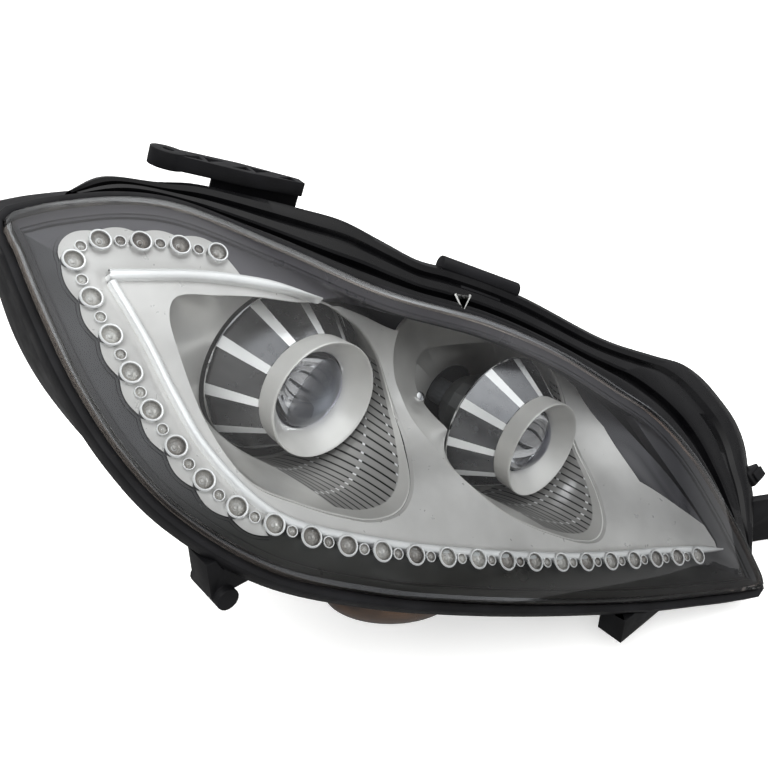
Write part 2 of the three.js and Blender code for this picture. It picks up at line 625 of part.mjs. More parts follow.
// Posts that carry the side pins, standing forward from the housing's back wall.
const POST = { wide: 8, tall: 16, ahead: 7 };
function pivotPost(pivot, backY, pinR, inner) {
  const [x, y, z] = pivot;
  const side = Math.sign(inner);
  const post = toSolid(box([POST.wide, backY - y + POST.ahead, POST.tall],
    [x + inner + side * POST.wide / 2, (backY + y - POST.ahead) / 2, z]));
  return cut(post, rod(pinR + GAP, [x + inner - 20, y, z], [x + inner + 20, y, z], 16));
}
const LOW_PIVOT = [LOW.x, LOW.y + PIVOT_Y, LOW.z];
const HIGH_PIVOT = [HIGH.x, HIGH.y + HIGH_PIVOT_Y, HIGH.z];
for (const [side, sign] of [['outboard', -1], ['inboard', 1]]) {
  piece(lamp, `low_pivot_post_${side}`, pivotPost(LOW_PIVOT, REAR_LOW_Y - WALL - GAP, TAB.pinR,
    sign * (TAB.outer + 1.6)), 'blackPlastic');
  piece(lamp, `high_pivot_post_${side}`, pivotPost(HIGH_PIVOT, REAR_HIGH_Y - WALL - GAP, YOKE.pinR,
    sign * (YOKE.reach * HIGH_SCALE + 1.4)), 'blackPlastic');
}

// ---------------------------------------------------------------- back of the lamp
// Each cap is a disc with a skirt inside the collar and a grip bar across its back.
for (const cap of CAPS) {
  const [x, y, z] = cap.place;
  const r = cap.r;
  const disc = turned([[0, 11], [r + 4, 11], [r + 6, 13], [r + 6, 16], [r - 4, 18], [0, 18]], 22);
  const skirt = turned([[r - 5, -2], [r - 1.4, -2], [r - 1.4, 12], [r - 5, 12]], 22);
  const cover = join(toSolid(disc), skirt, box([r * 1.5, 8, 7], [0, 21, 0]));
  const mesh = piece(lamp, `${cap.name}_rear_cap`, cover, 'blackPlastic');
  mesh.position.set(x, y, z);
  const seal = piece(lamp, `${cap.name}_cap_seal`, turned([[r - 0.6, 9.4], [r + 2.6, 9.4], [r + 2.6, 10.6],
    [r - 0.6, 10.6]], 22), 'rubber');
  seal.position.set(x, y, z);
}

// A rod that runs straight back through the wall at one port, from and to measured from its back face.
const through = (radius, port, from, to, sides) => rod(radius,
  [port.x, REAR_LOW_Y + from, port.z], [port.x, REAR_LOW_Y + to, port.z], sides);

const MOTOR = { wide: 46, deep: 30, tall: 40, below: 8, foot: 4.4, neckR: 14 };
piece(lamp, 'level_motor', join(
  toSolid(box([MOTOR.wide, MOTOR.deep, MOTOR.tall],
    [PLUNGER.x, REAR_LOW_Y + MOTOR.foot + MOTOR.deep / 2, PLUNGER.z - MOTOR.below])),
  through(MOTOR.neckR, PLUNGER, 3 + 1.5 * GAP, MOTOR.foot + 1)), 'greyPlastic');
const HEAD = { r: 5, long: 5 };
const headFrom = FRAME_Y[1] + GAP - REAR_LOW_Y;
piece(lamp, 'level_plunger', join(toSolid(through(3, PLUNGER, headFrom + HEAD.long - 1, GAP, 14)),
  through(HEAD.r, PLUNGER, headFrom, headFrom + HEAD.long, 14)), 'ceramic');

for (const screw of ADJUSTERS) {
  piece(lamp, screw.name, join(toSolid(through(4, screw, -40, 6, 12)), through(7, screw, 5 + GAP, 17, 6)),
    'ceramic');
}
piece(lamp, 'vent_cap', join(toSolid(through(9, VENT, 4 + GAP, 12, 18)), through(5.4, VENT, -6, 5, 12)),
  'rubber');
const PLUG = { wide: 42, deep: 22, tall: 24, wall: 2.5, foot: 1 + GAP };
piece(lamp, 'connector_socket', join(cut(
  toSolid(box([PLUG.wide, PLUG.deep, PLUG.tall], [SOCKET.x, REAR_LOW_Y + PLUG.foot + PLUG.deep / 2,
    SOCKET.z])),
  box([PLUG.wide - 2 * PLUG.wall, PLUG.deep, PLUG.tall - 2 * PLUG.wall],
    [SOCKET.x, REAR_LOW_Y + PLUG.foot + 2 * PLUG.wall + PLUG.deep / 2, SOCKET.z])),
through(7, SOCKET, -5, 3, 16)), 'greyPlastic');

// ---------------------------------------------------------------- brackets and small pieces
// Takes away from an outside piece whatever would reach into the housing.
function clearOfHousing(solid) {
  const rim = slab(grow(LENS_EDGE, RIM_OUT + GAP), -9, 9).applyMatrix4(face.matrix);
  return cut(solid, housingBlock(grow(LENS_EDGE, RIM_OUT - WALL + GAP), REAR_LOW_Y), rim);
}

// Upper arm: a ribbed beam with a round bolting boss at its outboard end.
const ARM = {
  thick: 12.4, under: 1, bossX: -9, bossR: 14, boreR: 4.5, rib: 4, pocket: 16, pockets: 5, web: 76,
  drop: 62,
};
const armPlace = new THREE.Matrix4().makeRotationFromEuler(
  new THREE.Euler(0, degrees(20), degrees(-14), 'ZYX')).setPosition(UPPER_BOSS);
function topArm() {
  const outline = flat([[-11, -13], [-11, 13], [53, 16], [105, 6], [105, -8], [53, -16]]);
  const pockets = Array.from({ length: ARM.pockets }, (_, i) => {
    const from = 1 + i * (ARM.pocket + ARM.rib);
    const to = from + ARM.pocket;
    const corner = i % 2 === 0 ? [[from, -8], [to, -8], [to, 6]] : [[from, -8], [to, 6], [from, 6]];
    return slab(flat(corner), -ARM.thick + ARM.rib / 2, 5);
  });
  const boss = rod(ARM.bossR, [ARM.bossX, 0, -ARM.thick - 1], [ARM.bossX, 0, 0], 24);
  const bore = rod(ARM.boreR, [ARM.bossX, 0, -40], [ARM.bossX, 0, 20], 16);
  const web = box([ARM.web, ARM.rib, ARM.drop], [105 - ARM.web / 2, 0, -ARM.thick - ARM.drop / 2 + 1]);
  const beam = cut(toSolid(slab(outline, -ARM.thick, -ARM.under)), ...pockets);
  const solid = toGeometry(cut(join(beam, boss, web), bore));
  return clearOfHousing(toSolid(solid.applyMatrix4(armPlace)));
}
piece(lamp, 'top_arm', topArm(), 'blackPlastic');

// A bar along the shroud's upper edge, on a plate that stands up from the housing.
const RETAINER = { from: [169, 98], to: [236, 45], r: 8, plate: 44, thick: 5 };
function upperRetainer() {
  const depth = SHROUD_TOP - SKIN - 2 * GAP - RETAINER.r;
  const bar = rod(RETAINER.r, [...RETAINER.from, depth], [...RETAINER.to, depth], 16);
  const [u, v] = [0, 1].map((i) => (RETAINER.from[i] + RETAINER.to[i]) / 2);
  const along = new THREE.Vector2(RETAINER.to[0] - RETAINER.from[0], RETAINER.to[1] - RETAINER.from[1]);
  const plate = box([RETAINER.plate, 2 * RETAINER.plate, RETAINER.thick], [0, -RETAINER.plate, depth]);
  plate.rotateZ(along.angle());
  plate.translate(u, v, 0);
  return clearOfHousing(toSolid(toGeometry(join(toSolid(bar), plate)).applyMatrix4(face.matrix)));
}
piece(lamp, 'upper_retainer', upperRetainer(), 'blackPlastic');

piece(lamp, 'foot_bracket', clearOfHousing(join(toSolid(box([30, 24, 30], [-146, -76, -30])),
  rod(8, [-152, -94, -46], [-152, -58, -46], 16))), 'blackPlastic');
piece(lamp, 'lower_tab', clearOfHousing(toSolid(box([66, 24, 26], [176, -200, -186]))), 'blackPlastic');

const flange = new THREE.Group();
flange.name = 'side_flange';
flange.position.set(402, -194, -216);
flange.rotation.set(0, 0, degrees(-28));
lamp.add(flange);
piece(flange, 'side_bracket', cut(toSolid(box([84, 8, 56], [0, 0, 0])),
  rod(4, [22, -10, 6], [22, 10, 6], 16)), 'blackPlastic');

// A rounded tray under the outboard end holds the discharge lamp's ballast.
const TRAY = { u: -33, v: -110, w: -38, turn: degrees(-33), size: [55, 24, 38] };
function trayBlock(less) {
  const geometry = new THREE.SphereGeometry(1, 16, 9);
  geometry.scale(...TRAY.size.map((size) => size - less));
  geometry.rotateZ(TRAY.turn);
  geometry.translate(TRAY.u, TRAY.v, TRAY.w);
  return geometry.applyMatrix4(face.matrix);
}
piece(lamp, 'ballast_cover', clearOfHousing(cut(toSolid(trayBlock(0)), trayBlock(SKIN))), 'brown');
function ballast() {
  const block = box([84, 22, 40], [0, -6, 0]);
  block.rotateZ(TRAY.turn);
  block.translate(TRAY.u, TRAY.v, TRAY.w);
  return clearOfHousing(toSolid(block.applyMatrix4(face.matrix)).intersect(toSolid(trayBlock(SKIN + 1))));
}
piece(lamp, 'ballast', ballast(), 'aluminium');
// Wire spring clip on the shroud, the screw that holds the inner bezel, and the locating boss.
const CLIP_FOOT = SHROUD_TOP + GAP;
piece(face, 'v_clip', slab(band(flat([[153, 66], [150, 50], [168, 59]]), 1.1), CLIP_FOOT, CLIP_FOOT + 1.6),
  'steel');
const SCREW = { u: 93, v: 5.6, r: 4.4, height: 4 };
const screwFoot = bezelHeight(SCREW.u, SCREW.v) + 2 * GAP;
piece(face, 'bezel_screw', rod(SCREW.r, [SCREW.u, SCREW.v, screwFoot],
  [SCREW.u, SCREW.v, screwFoot + SCREW.height], 12), 'steel');
piece(face, 'corner_boss', rod(5, [282, -290, -2.8], [282, -290, 3], 18), 'clear');

// Two pale locating clips, one at each end of the rim.
piece(face, 'outboard_clip', box([6, 14, 2.4], [-181.5, 224, -1]), 'paleGrey');
piece(face, 'inboard_clip', box([18, 10, 2.4], [402, -242, SHROUD_TOP - SKIN - GAP - 1.2]), 'paleGrey');

lamp.updateMatrixWorld(true);
export default root;
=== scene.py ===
import math

import bmesh
import bpy
from mathutils import Matrix, Vector


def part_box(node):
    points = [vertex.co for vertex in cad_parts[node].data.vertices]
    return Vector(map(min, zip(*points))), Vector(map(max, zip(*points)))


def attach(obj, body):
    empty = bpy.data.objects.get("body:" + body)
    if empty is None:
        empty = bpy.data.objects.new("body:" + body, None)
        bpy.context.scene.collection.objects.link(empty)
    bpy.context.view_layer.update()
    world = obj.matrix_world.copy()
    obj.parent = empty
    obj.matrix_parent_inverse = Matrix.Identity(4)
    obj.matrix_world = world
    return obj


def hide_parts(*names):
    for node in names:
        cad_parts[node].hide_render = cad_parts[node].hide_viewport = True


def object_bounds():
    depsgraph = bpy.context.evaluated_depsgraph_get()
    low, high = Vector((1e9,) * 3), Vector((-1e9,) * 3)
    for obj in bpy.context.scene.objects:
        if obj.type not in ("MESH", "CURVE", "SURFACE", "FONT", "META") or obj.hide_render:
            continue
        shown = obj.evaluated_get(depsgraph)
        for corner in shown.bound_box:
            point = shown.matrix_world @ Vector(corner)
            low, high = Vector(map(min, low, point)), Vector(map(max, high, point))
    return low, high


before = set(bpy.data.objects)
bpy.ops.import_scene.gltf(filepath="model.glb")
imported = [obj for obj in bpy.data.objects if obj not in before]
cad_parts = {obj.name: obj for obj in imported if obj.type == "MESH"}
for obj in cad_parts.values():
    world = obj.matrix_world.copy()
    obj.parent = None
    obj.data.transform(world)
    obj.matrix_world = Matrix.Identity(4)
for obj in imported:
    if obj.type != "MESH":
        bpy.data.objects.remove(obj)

# The looks of a right-hand car headlamp. Shapes are drawn in millimetres, either in the lamp's own
# axes (+X inboard, -Y along the beams, +Z up, zero on the low beam's trim ring) or in the plane of
# the raked face (u inboard, v up the rake, w out of the face), and then placed in the frame.

CAD_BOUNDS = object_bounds()
MM = 0.001
TURN = 2 * math.pi

# ------------------------------------------------------------------ places taken from the frame
def middle(node):
    low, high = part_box(node)
    return (low + high) / 2


def ring_front(node):
    """The point on a trim ring's axis at its front edge."""
    centre = middle(node)
    return Vector((centre.x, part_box(node)[0].y, centre.z))


def width(node):
    low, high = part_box(node)
    return high.x - low.x


LAMP_ZERO = ring_front("low_beam_ring")
LAMP = Matrix.Translation(LAMP_ZERO) @ Matrix.Scale(MM, 4)
HIGH = (ring_front("high_beam_ring") - LAMP_ZERO) / MM
HIGH_SCALE = width("high_beam_ring") / width("low_beam_ring")
RAKE = math.radians(45)
SWEEP = math.radians(6.5)
FACE_AHEAD = 58
FACE_IN_LAMP = (Matrix.Translation((0, -FACE_AHEAD, 0)) @ Matrix.Rotation(SWEEP, 4, "Z")
                @ Matrix.Rotation(RAKE, 4, "X"))
LAMP_IN_FACE = FACE_IN_LAMP.inverted()
FACE = LAMP @ FACE_IN_LAMP

# ------------------------------------------------------------------ outlines
def spaced(points, count, closed):
    """The same line with its points evenly spaced along it."""
    line = points + [points[0]] if closed else points
    runs = [0.0]
    for a, b in zip(line, line[1:]):
        runs.append(runs[-1] + (b - a).length)
    steps = count if closed else count - 1
    result = []
    k = 0
    for i in range(count):
        target = runs[-1] * i / steps
        while k < len(runs) - 2 and runs[k + 1] < target:
            k += 1
        share = (target - runs[k]) / max(runs[k + 1] - runs[k], 1e-9)
        result.append(line[k].lerp(line[k + 1], share))
    return result


def smooth(pairs, count, closed=True):
    """A curve through the given points, evenly sampled."""
    knots = [Vector(p) for p in pairs]
    n = len(knots)
    dense = []
    for i in range(n if closed else n - 1):
        b, c = knots[i], knots[(i + 1) % n]
        a = knots[i - 1] if closed or i > 0 else b * 2 - c
        d = knots[(i + 2) % n] if closed or i < n - 2 else c * 2 - b
        t1 = max((b - a).length ** 0.5, 1e-6)
        t2 = t1 + (c - b).length ** 0.5
        t3 = t2 + max((d - c).length ** 0.5, 1e-6)
        for step in range(14):
            t = t1 + (t2 - t1) * step / 14
            ab = a * ((t1 - t) / t1) + b * (t / t1)
            bc = b * ((t2 - t) / (t2 - t1)) + c * ((t - t1) / (t2 - t1))
            cd = c * ((t3 - t) / (t3 - t2)) + d * ((t - t2) / (t3 - t2))
            abc = ab * ((t2 - t) / t2) + bc * (t / t2)
            bcd = bc * ((t3 - t) / (t3 - t1)) + cd * ((t - t1) / (t3 - t1))
            dense.append(abc * ((t2 - t) / (t2 - t1)) + bcd * ((t - t1) / (t2 - t1)))
    if not closed:
        dense.append(knots[-1])
    return spaced(dense, count, closed)


def area(outline):
    return sum(a.x * b.y - b.x * a.y for a, b in zip(outline, outline[1:] + outline[:1])) / 2


def grow(outline, distance):
    """Each point moved outwards along the outline's own normal."""
    turn = 1 if area(outline) > 0 else -1
    moved = []
    for i, point in enumerate(outline):
        along = (outline[(i + 1) % len(outline)] - outline[i - 1]).normalized()
        moved.append(point + Vector((along.y, -along.x)) * distance * turn)
    return moved


def sideways(path, distances):
    """Each point of an open path moved to its left by its own distance."""
    last = len(path) - 1
    moved = []
    for i, point in enumerate(path):
        along = (path[min(i + 1, last)] - path[max(i - 1, 0)]).normalized()
        moved.append(point + Vector((-along.y, along.x)) * distances[i])
    return moved


def reach(outline, heart, towards):
    """Where the ray from heart towards a point leaves the outline."""
    way = (towards - heart).normalized()
    best = 0.0
    for a, b in zip(outline, outline[1:] + outline[:1]):
        span = b - a
        cross = way.x * span.y - way.y * span.x
        if abs(cross) < 1e-9:
            continue
        away = a - heart
        along = (away.x * span.y - away.y * span.x) / cross
        share = (away.x * way.y - away.y * way.x) / cross
        if -1e-6 <= share <= 1 + 1e-6 and along > best:
            best = along
    return heart + way * best


# The glazed face, in its own plane.
LENS_EDGE = smooth([
    (-166, 233), (-148, 235), (-125, 233), (-86, 225), (-51, 209), (6, 158), (75, 91), (163, 27),
    (220, -28), (262, -84), (289, -124), (304, -175), (304, -230), (297, -285), (289, -308),
    (270, -301), (215, -273), (158, -243), (58, -184), (-16, -136), (-70, -97), (-130, -42),
    (-166, 20), (-177, 64), (-180, 116), (-175, 175), (-170, 210),
], 240)
HEART = Vector((48, -20))
STRIP_UPPER = [(24, 108), (-8, 132), (-59, 159), (-120, 181)]
STRIP_LOWER = [
    (-121, 176), (-121, 131), (-124, 87), (-124, 49), (-112, 1), (-97, -24), (-41, -72),
    (15, -112), (94, -162), (148, -192), (222, -230), (278, -262),
]
OPENING_TOP = [
    (282, -254), (281, -210), (276, -150), (270, -94), (255, -58), (219, -23), (180, 7),
    (158, 29), (132, 51), (100, 66), (68, 88), (44, 103),
]
OPENING = smooth(STRIP_UPPER, 30, False) + smooth(STRIP_LOWER, 90, False) + smooth(OPENING_TOP, 60, False)
LED_COUNT = 28
LED_LINE = smooth([
    (-38, 170), (-62, 184), (-89, 196), (-120, 206), (-136, 202), (-140, 180), (-143, 126),
    (-144, 69), (-131, 10), (-95, -36), (-51, -74), (20, -122), (90, -166), (165, -208), (241, -248),
], 541, False)
LED_STEP = (len(LED_LINE) - 1) // (LED_COUNT - 1)
LED_PLACES = LED_LINE[::LED_STEP]
SMOKED_EDGE = [Vector(p) for p in (
    (222, -10), (250, -62), (254, -108), (242, -166), (262, -206), (288, -252), (300, -262),
    (340, -200), (300, -20))]

# The two eyes, seen straight down the beams: X and Z of the lamp.
LOW_EYE = smooth([
    (20, 70), (35, 57), (52, 38), (66, 4), (63, -22), (53, -31), (31, -37), (8, -45), (-9, -47),
    (-33, -42), (-55, -31), (-80, -15), (-108, 8), (-117, 40), (-112, 80), (-106, 98), (-96, 105),
    (-64, 98), (-33, 89), (-4, 78),
], 200)
HIGH_EYE = smooth([
    (112, 33), (93, 26), (83, 10), (77, -10), (74, -24), (64, -39), (62, -48), (71, -66), (88, -85),
    (119, -108), (145, -123), (164, -129), (180, -127), (196, -119), (212, -108), (226, -90),
    (235, -64), (228, -35), (201, -7), (157, 14),
], 200)
BEZEL_TOP = -4
HOLLOWS = ((75, 20, 55, 45, 44), (218, -88, 45, 50, 30))


def bezel_height(u, v):
    """Height of the inner bezel above the face's plane, with a valley between the eyes."""
    height = BEZEL_TOP
    for centre_u, centre_v, reach_u, reach_v, depth in HOLLOWS:
        a = (u - centre_u) / reach_u
        b = (v - centre_v) / reach_v
        height -= depth * math.exp(-(a * a + b * b) / 2)
    return height


def rim_depth(x, z):
    """The lamp's y where a line along the beam at (x, z) meets the inner bezel."""
    y = -60.0
    for _ in range(30):
        local = LAMP_IN_FACE @ Vector((x, y, z))
        y += (local.z - bezel_height(local.x, local.y)) * 0.9
    return y


# ------------------------------------------------------------------ meshes
def sheet(rows, closed=False):
    """A grid of points as a surface. A closed one joins its last column to its first."""
    if closed:
        rows = [list(row) + [row[0]] for row in rows]
    across = len(rows[0])
    bm = bmesh.new()
    bm.loops.layers.uv.new("UVMap")
    bmesh.ops.create_grid(bm, x_segments=across - 1, y_segments=len(rows) - 1, size=0.5, calc_uvs=True)
    bm.verts.ensure_lookup_table()
    for i, vert in enumerate(bm.verts):
        vert.co = rows[i // across][i % across]
    bmesh.ops.remove_doubles(bm, verts=bm.verts, dist=1e-4)
    return bm


def turned(profile, steps=96, centre=(0, 0, 0), scale=1.0):
    """A surface turned about the beam's direction. The profile lists (radius, y)."""
    place = Vector(centre)
    rows = []
    for r, y in profile:
        rows.append([place + Vector((math.cos(a) * r, y, math.sin(a) * r)) * scale
                     for a in (TURN * i / steps for i in range(steps))])
    return sheet(rows, closed=True)


def prism(outline, low, high):
    """A closed block over an outline, between two heights."""
    ring = [Vector((p[0], p[1], 0)) for p in outline]
    bm = sheet([[p + Vector((0, 0, h)) for p in ring] for h in (low, high)], closed=True)
    bmesh.ops.holes_fill(bm, edges=bm.edges, sides=0)
    return bm


def block(size, centre):
    bm = bmesh.new()
    bmesh.ops.create_cube(bm, size=1)
    bmesh.ops.scale(bm, vec=Vector(size), verts=bm.verts)
    bmesh.ops.translate(bm, vec=Vector(centre), verts=bm.verts)
    return bm


def rod(radius, start, end, segments=32, end_radius=None):
    bm = bmesh.new()
    a, b = Vector(start), Vector(end)
    bmesh.ops.create_cone(bm, cap_ends=True, segments=segments, radius1=radius,
                          radius2=radius if end_radius is None else end_radius, depth=(b - a).length)
    turn = Vector((0, 0, 1)).rotation_difference(b - a).to_matrix().to_4x4()
    bmesh.ops.transform(bm, matrix=Matrix.Translation((a + b) / 2) @ turn, verts=bm.verts)
    return bm


def moved(bm, matrix):
    bmesh.ops.transform(bm, matrix=matrix, verts=bm.verts)
    return bm


def joined(*parts):
    """Several meshes as one, without merging them."""
    whole = bmesh.new()
    for part in parts:
        mesh = bpy.data.meshes.new("joined")
        part.to_mesh(mesh)
        part.free()
        whole.from_mesh(mesh)
        bpy.data.meshes.remove(mesh)
    return whole


def softened(bm, radius, segments=2, least=0.5):
    """Rounds the edges that turn by more than a given angle."""
    bmesh.ops.recalc_face_normals(bm, faces=bm.faces)
    edges = [e for e in bm.edges if len(e.link_faces) == 2 and e.calc_face_angle(0) > least]
    bmesh.ops.bevel(bm, geom=edges, offset=radius, segments=segments, affect="EDGES", profile=0.5,
                    material=-1, clamp_overlap=True)
    return bm


def as_object(bm, name):
    bmesh.ops.recalc_face_normals(bm, faces=bm.faces)
    mesh = bpy.data.meshes.new(name)
    bm.to_mesh(mesh)
    bm.free()
    made = bpy.data.objects.new(name, mesh)
    bpy.context.scene.collection.objects.link(made)
    return made


def carved(bm, tool, operation):
    """One mesh cut, joined or crossed with another."""
    base = as_object(bm, "carve_base")
    cutter = as_object(tool, "carve_tool")
    change = base.modifiers.new("carve", "BOOLEAN")
    change.object = cutter
    change.operation = operation
    change.solver = "EXACT"
    graph = bpy.context.evaluated_depsgraph_get()
    result = bmesh.new()
    result.from_mesh(base.evaluated_get(graph).to_mesh())
    for used in (base, cutter):
        mesh = used.data
        bpy.data.objects.remove(used)
        bpy.data.meshes.remove(mesh)
    return result


def piece(bm, name, material, body="housing", place=LAMP, stands_for=(), sharp=40, thick=None):
    """Puts a finished mesh in the scene: placed, shaded, coloured and riding its body."""
    bmesh.ops.transform(bm, matrix=place, verts=bm.verts)
    bmesh.ops.remove_doubles(bm, verts=bm.verts, dist=1e-7)
    bmesh.ops.recalc_face_normals(bm, faces=bm.faces)
    if thick:
        bmesh.ops.solidify(bm, geom=bm.faces[:], thickness=thick * MM)
    mesh = bpy.data.meshes.new(name)
    bm.to_mesh(mesh)
    bm.free()
    mesh.shade_smooth()
    mesh.set_sharp_from_angle(angle=math.radians(sharp))
    mesh.materials.append(material)
    made = bpy.data.objects.new(name, mesh)
    bpy.context.scene.collection.objects.link(made)
    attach(made, body)
    for node in stands_for:
        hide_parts(node)
    return made


def refined(node, material, body="housing", radius=0.5, name=None):
    """A softened copy of a small CAD piece, with its edges rounded."""
    bm = bmesh.new()
    bm.from_mesh(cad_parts[node].data)
    bmesh.ops.remove_doubles(bm, verts=bm.verts, dist=1e-6)
    bmesh.ops.dissolve_limit(bm, angle_limit=0.03, verts=bm.verts, edges=bm.edges)
    softened(bm, radius * MM)
    return piece(bm, name or f"{node}_fine", material, body, Matrix.Identity(4), (node,))


# ------------------------------------------------------------------ materials
def linear(hex_colour):
    """An sRGB hex colour as linear RGBA."""
    def channel(i):
        c = int(hex_colour[i:i + 2], 16) / 255
        return c / 12.92 if c <= 0.04045 else ((c + 0.055) / 1.055) ** 2.4
    return (channel(0), channel(2), channel(4), 1.0)


def add(tree, kind, inputs=None, **settings):
    """A shader node with its settings, and its inputs set or linked."""
    made = tree.nodes.new(kind)
    for key, value in settings.items():
        setattr(made, key, value)
    for key, value in (inputs or {}).items():
        socket = made.inputs[key]
        if isinstance(value, bpy.types.NodeSocket):
            tree.links.new(value, socket)
        else:
            socket.default_value = value
    return made


def fresh(name):
    material = bpy.data.materials.new(name)
    material.use_nodes = True
    material.node_tree.nodes.clear()
    return material, material.node_tree


def finish_material(material, shader):
    tree = material.node_tree
    out = tree.nodes.new("ShaderNodeOutputMaterial")
    tree.links.new(shader.outputs[0], out.inputs["Surface"])
    return material


def ramp(tree, factor, stops, interpolation="LINEAR"):
    made = add(tree, "ShaderNodeValToRGB", {"Fac": factor})
    made.color_ramp.interpolation = interpolation
    elements = made.color_ramp.elements
    while len(elements) < len(stops):
        elements.new(0.5)
    for element, (position, colour) in zip(elements, stops):
        element.position = position
        element.color = colour
    return made


def coordinates(tree, stretch=(1, 1, 1), kind="Object"):
    place = add(tree, "ShaderNodeTexCoord")
    return add(tree, "ShaderNodeMapping", {"Vector": place.outputs[kind], "Scale": stretch}).outputs[0]


def cloud(tree, size_mm, detail=3.0, roughness=0.55, stretch=(1, 1, 1)):
    """Soft noise whose lumps are about size_mm across."""
    return add(tree, "ShaderNodeTexNoise", {
        "Vector": coordinates(tree, stretch), "Scale": 1 / (size_mm * MM), "Detail": detail,
        "Roughness": roughness}).outputs["Fac"]


def level(tree, factor, low, high):
    """A 0-1 value spread over another range."""
    return add(tree, "ShaderNodeMapRange", {
        "Value": factor, "From Min": 0.3, "From Max": 0.7, "To Min": low, "To Max": high}).outputs[0]


def bump(tree, height, strength, distance_mm):
    return add(tree, "ShaderNodeBump", {
        "Height": height, "Strength": strength, "Distance": distance_mm * MM}).outputs[0]


def plastic(name, dark, light, rough, grain_mm, grain_depth, coat=0.0, sheen=0.5):
    """Moulded plastic: faint tone changes, grain in relief and uneven gloss."""
    material, tree = fresh(name)
    tone = ramp(tree, cloud(tree, 40), [(0.35, linear(dark)), (0.65, linear(light))])
    grain = cloud(tree, grain_mm, 2.0)
    shader = add(tree, "ShaderNodeBsdfPrincipled", {
        "Base Color": tone.outputs["Color"],
        "Roughness": level(tree, cloud(tree, 15), rough - 0.06, rough + 0.08),
        "Coat Weight": coat, "Coat Roughness": 0.08, "Specular IOR Level": sheen,
        "Normal": bump(tree, grain, 0.5, grain_depth)})
    return finish_material(material, shader)


def metal(name, dark, light, rough, grain_mm=0.6, grain_depth=0.01, stretch=(1, 1, 1), metallic=1.0):
    """Metal or metallised plastic: smudged gloss and a fine grain, drawn out along one way."""
    material, tree = fresh(name)
    tone = ramp(tree, cloud(tree, 45, stretch=stretch), [(0.3, linear(dark)), (0.7, linear(light))])
    grain = cloud(tree, grain_mm, 2.0, stretch=stretch)
    shader = add(tree, "ShaderNodeBsdfPrincipled", {
        "Base Color": tone.outputs["Color"], "Metallic": metallic,
        "Roughness": level(tree, cloud(tree, 9), max(rough - 0.03, 0.01), rough + 0.05),
        "Normal": bump(tree, grain, 0.4, grain_depth)})
    return finish_material(material, shader)


def clear(name, tint, strength=1.0, rough=0.02, haze=0.0, wave_mm=40, wave_depth=0.02):
    """Clear moulded plastic: what is behind shows through, and the surface mirrors at a slant."""
    material, tree = fresh(name)
    normal = bump(tree, cloud(tree, wave_mm, 1.0), 0.3, wave_depth)
    through = add(tree, "ShaderNodeBsdfTransparent", {"Color": linear(tint)})
    gloss = add(tree, "ShaderNodeBsdfGlossy", {"Color": (1, 1, 1, 1), "Roughness": rough, "Normal": normal})
    slant = add(tree, "ShaderNodeFresnel", {"IOR": 1.5, "Normal": normal})
    share = add(tree, "ShaderNodeMath", {0: slant.outputs[0], 1: strength}, operation="MULTIPLY_ADD",
                use_clamp=True)
    share.inputs[2].default_value = haze
    mixed = add(tree, "ShaderNodeMixShader", {
        0: share.outputs[0], 1: through.outputs[0], 2: gloss.outputs[0]})
    return finish_material(material, mixed)


def smoked_moulding():
    """Metallised dark trim, its tone round the ring a painted reflection: violet grey along the top, mid
    grey outboard, green-black below.
    """
    material, tree = fresh("smoked bezel trim with painted reflection")
    around = add(tree, "ShaderNodeSeparateXYZ", {"Vector": coordinates(tree, kind="UV")}).outputs["X"]
    # Painted reflection: lighter violet grey along the top, darker green-black below.
    tone = ramp(tree, around, [
        (0.0, linear("4d4c50")), (0.1, linear("5d5b60")), (0.33, linear("5a585d")),
        (0.44, linear("454447")), (0.53, linear("2d2c2b")), (0.7, linear("302f2c")),
        (0.82, linear("343431")), (0.9, linear("434346"))])
    shader = add(tree, "ShaderNodeBsdfPrincipled", {
        "Base Color": tone.outputs["Color"], "Metallic": 0.35,
        "Roughness": level(tree, cloud(tree, 25), 0.26, 0.4), "Coat Weight": 0.3, "Coat Roughness": 0.1,
        "Normal": bump(tree, cloud(tree, 1.2, 2.0), 0.3, 0.02)})
    return finish_material(material, shader)


def smoked_end():
    """Dark smoked trim whose tone runs in slanting bands: the painted light and shade of folds."""
    material, tree = fresh("smoked end trim with painted fold shading")
    slant = add(tree, "ShaderNodeMapping", {
        "Vector": coordinates(tree), "Rotation": (0, math.radians(38), 0), "Scale": (1, 0.2, 0.25)})
    # Painted light and shade: slanting bands stand in for the light on folds.
    painted_fold_shade = add(tree, "ShaderNodeTexNoise", {"Vector": slant.outputs[0], "Scale": 26.0, "Detail": 1.0})
    tone = ramp(tree, painted_fold_shade.outputs["Fac"], [
        (0.36, linear("3a393b")), (0.46, linear("57565a")), (0.52, linear("454447")),
        (0.64, linear("706f72"))])
    shader = add(tree, "ShaderNodeBsdfPrincipled", {
        "Base Color": tone.outputs["Color"], "Metallic": 0.4,
        "Roughness": level(tree, cloud(tree, 25), 0.26, 0.4),
        "Normal": bump(tree, cloud(tree, 1.2, 2.0), 0.3, 0.02)})
    return finish_material(material, shader)


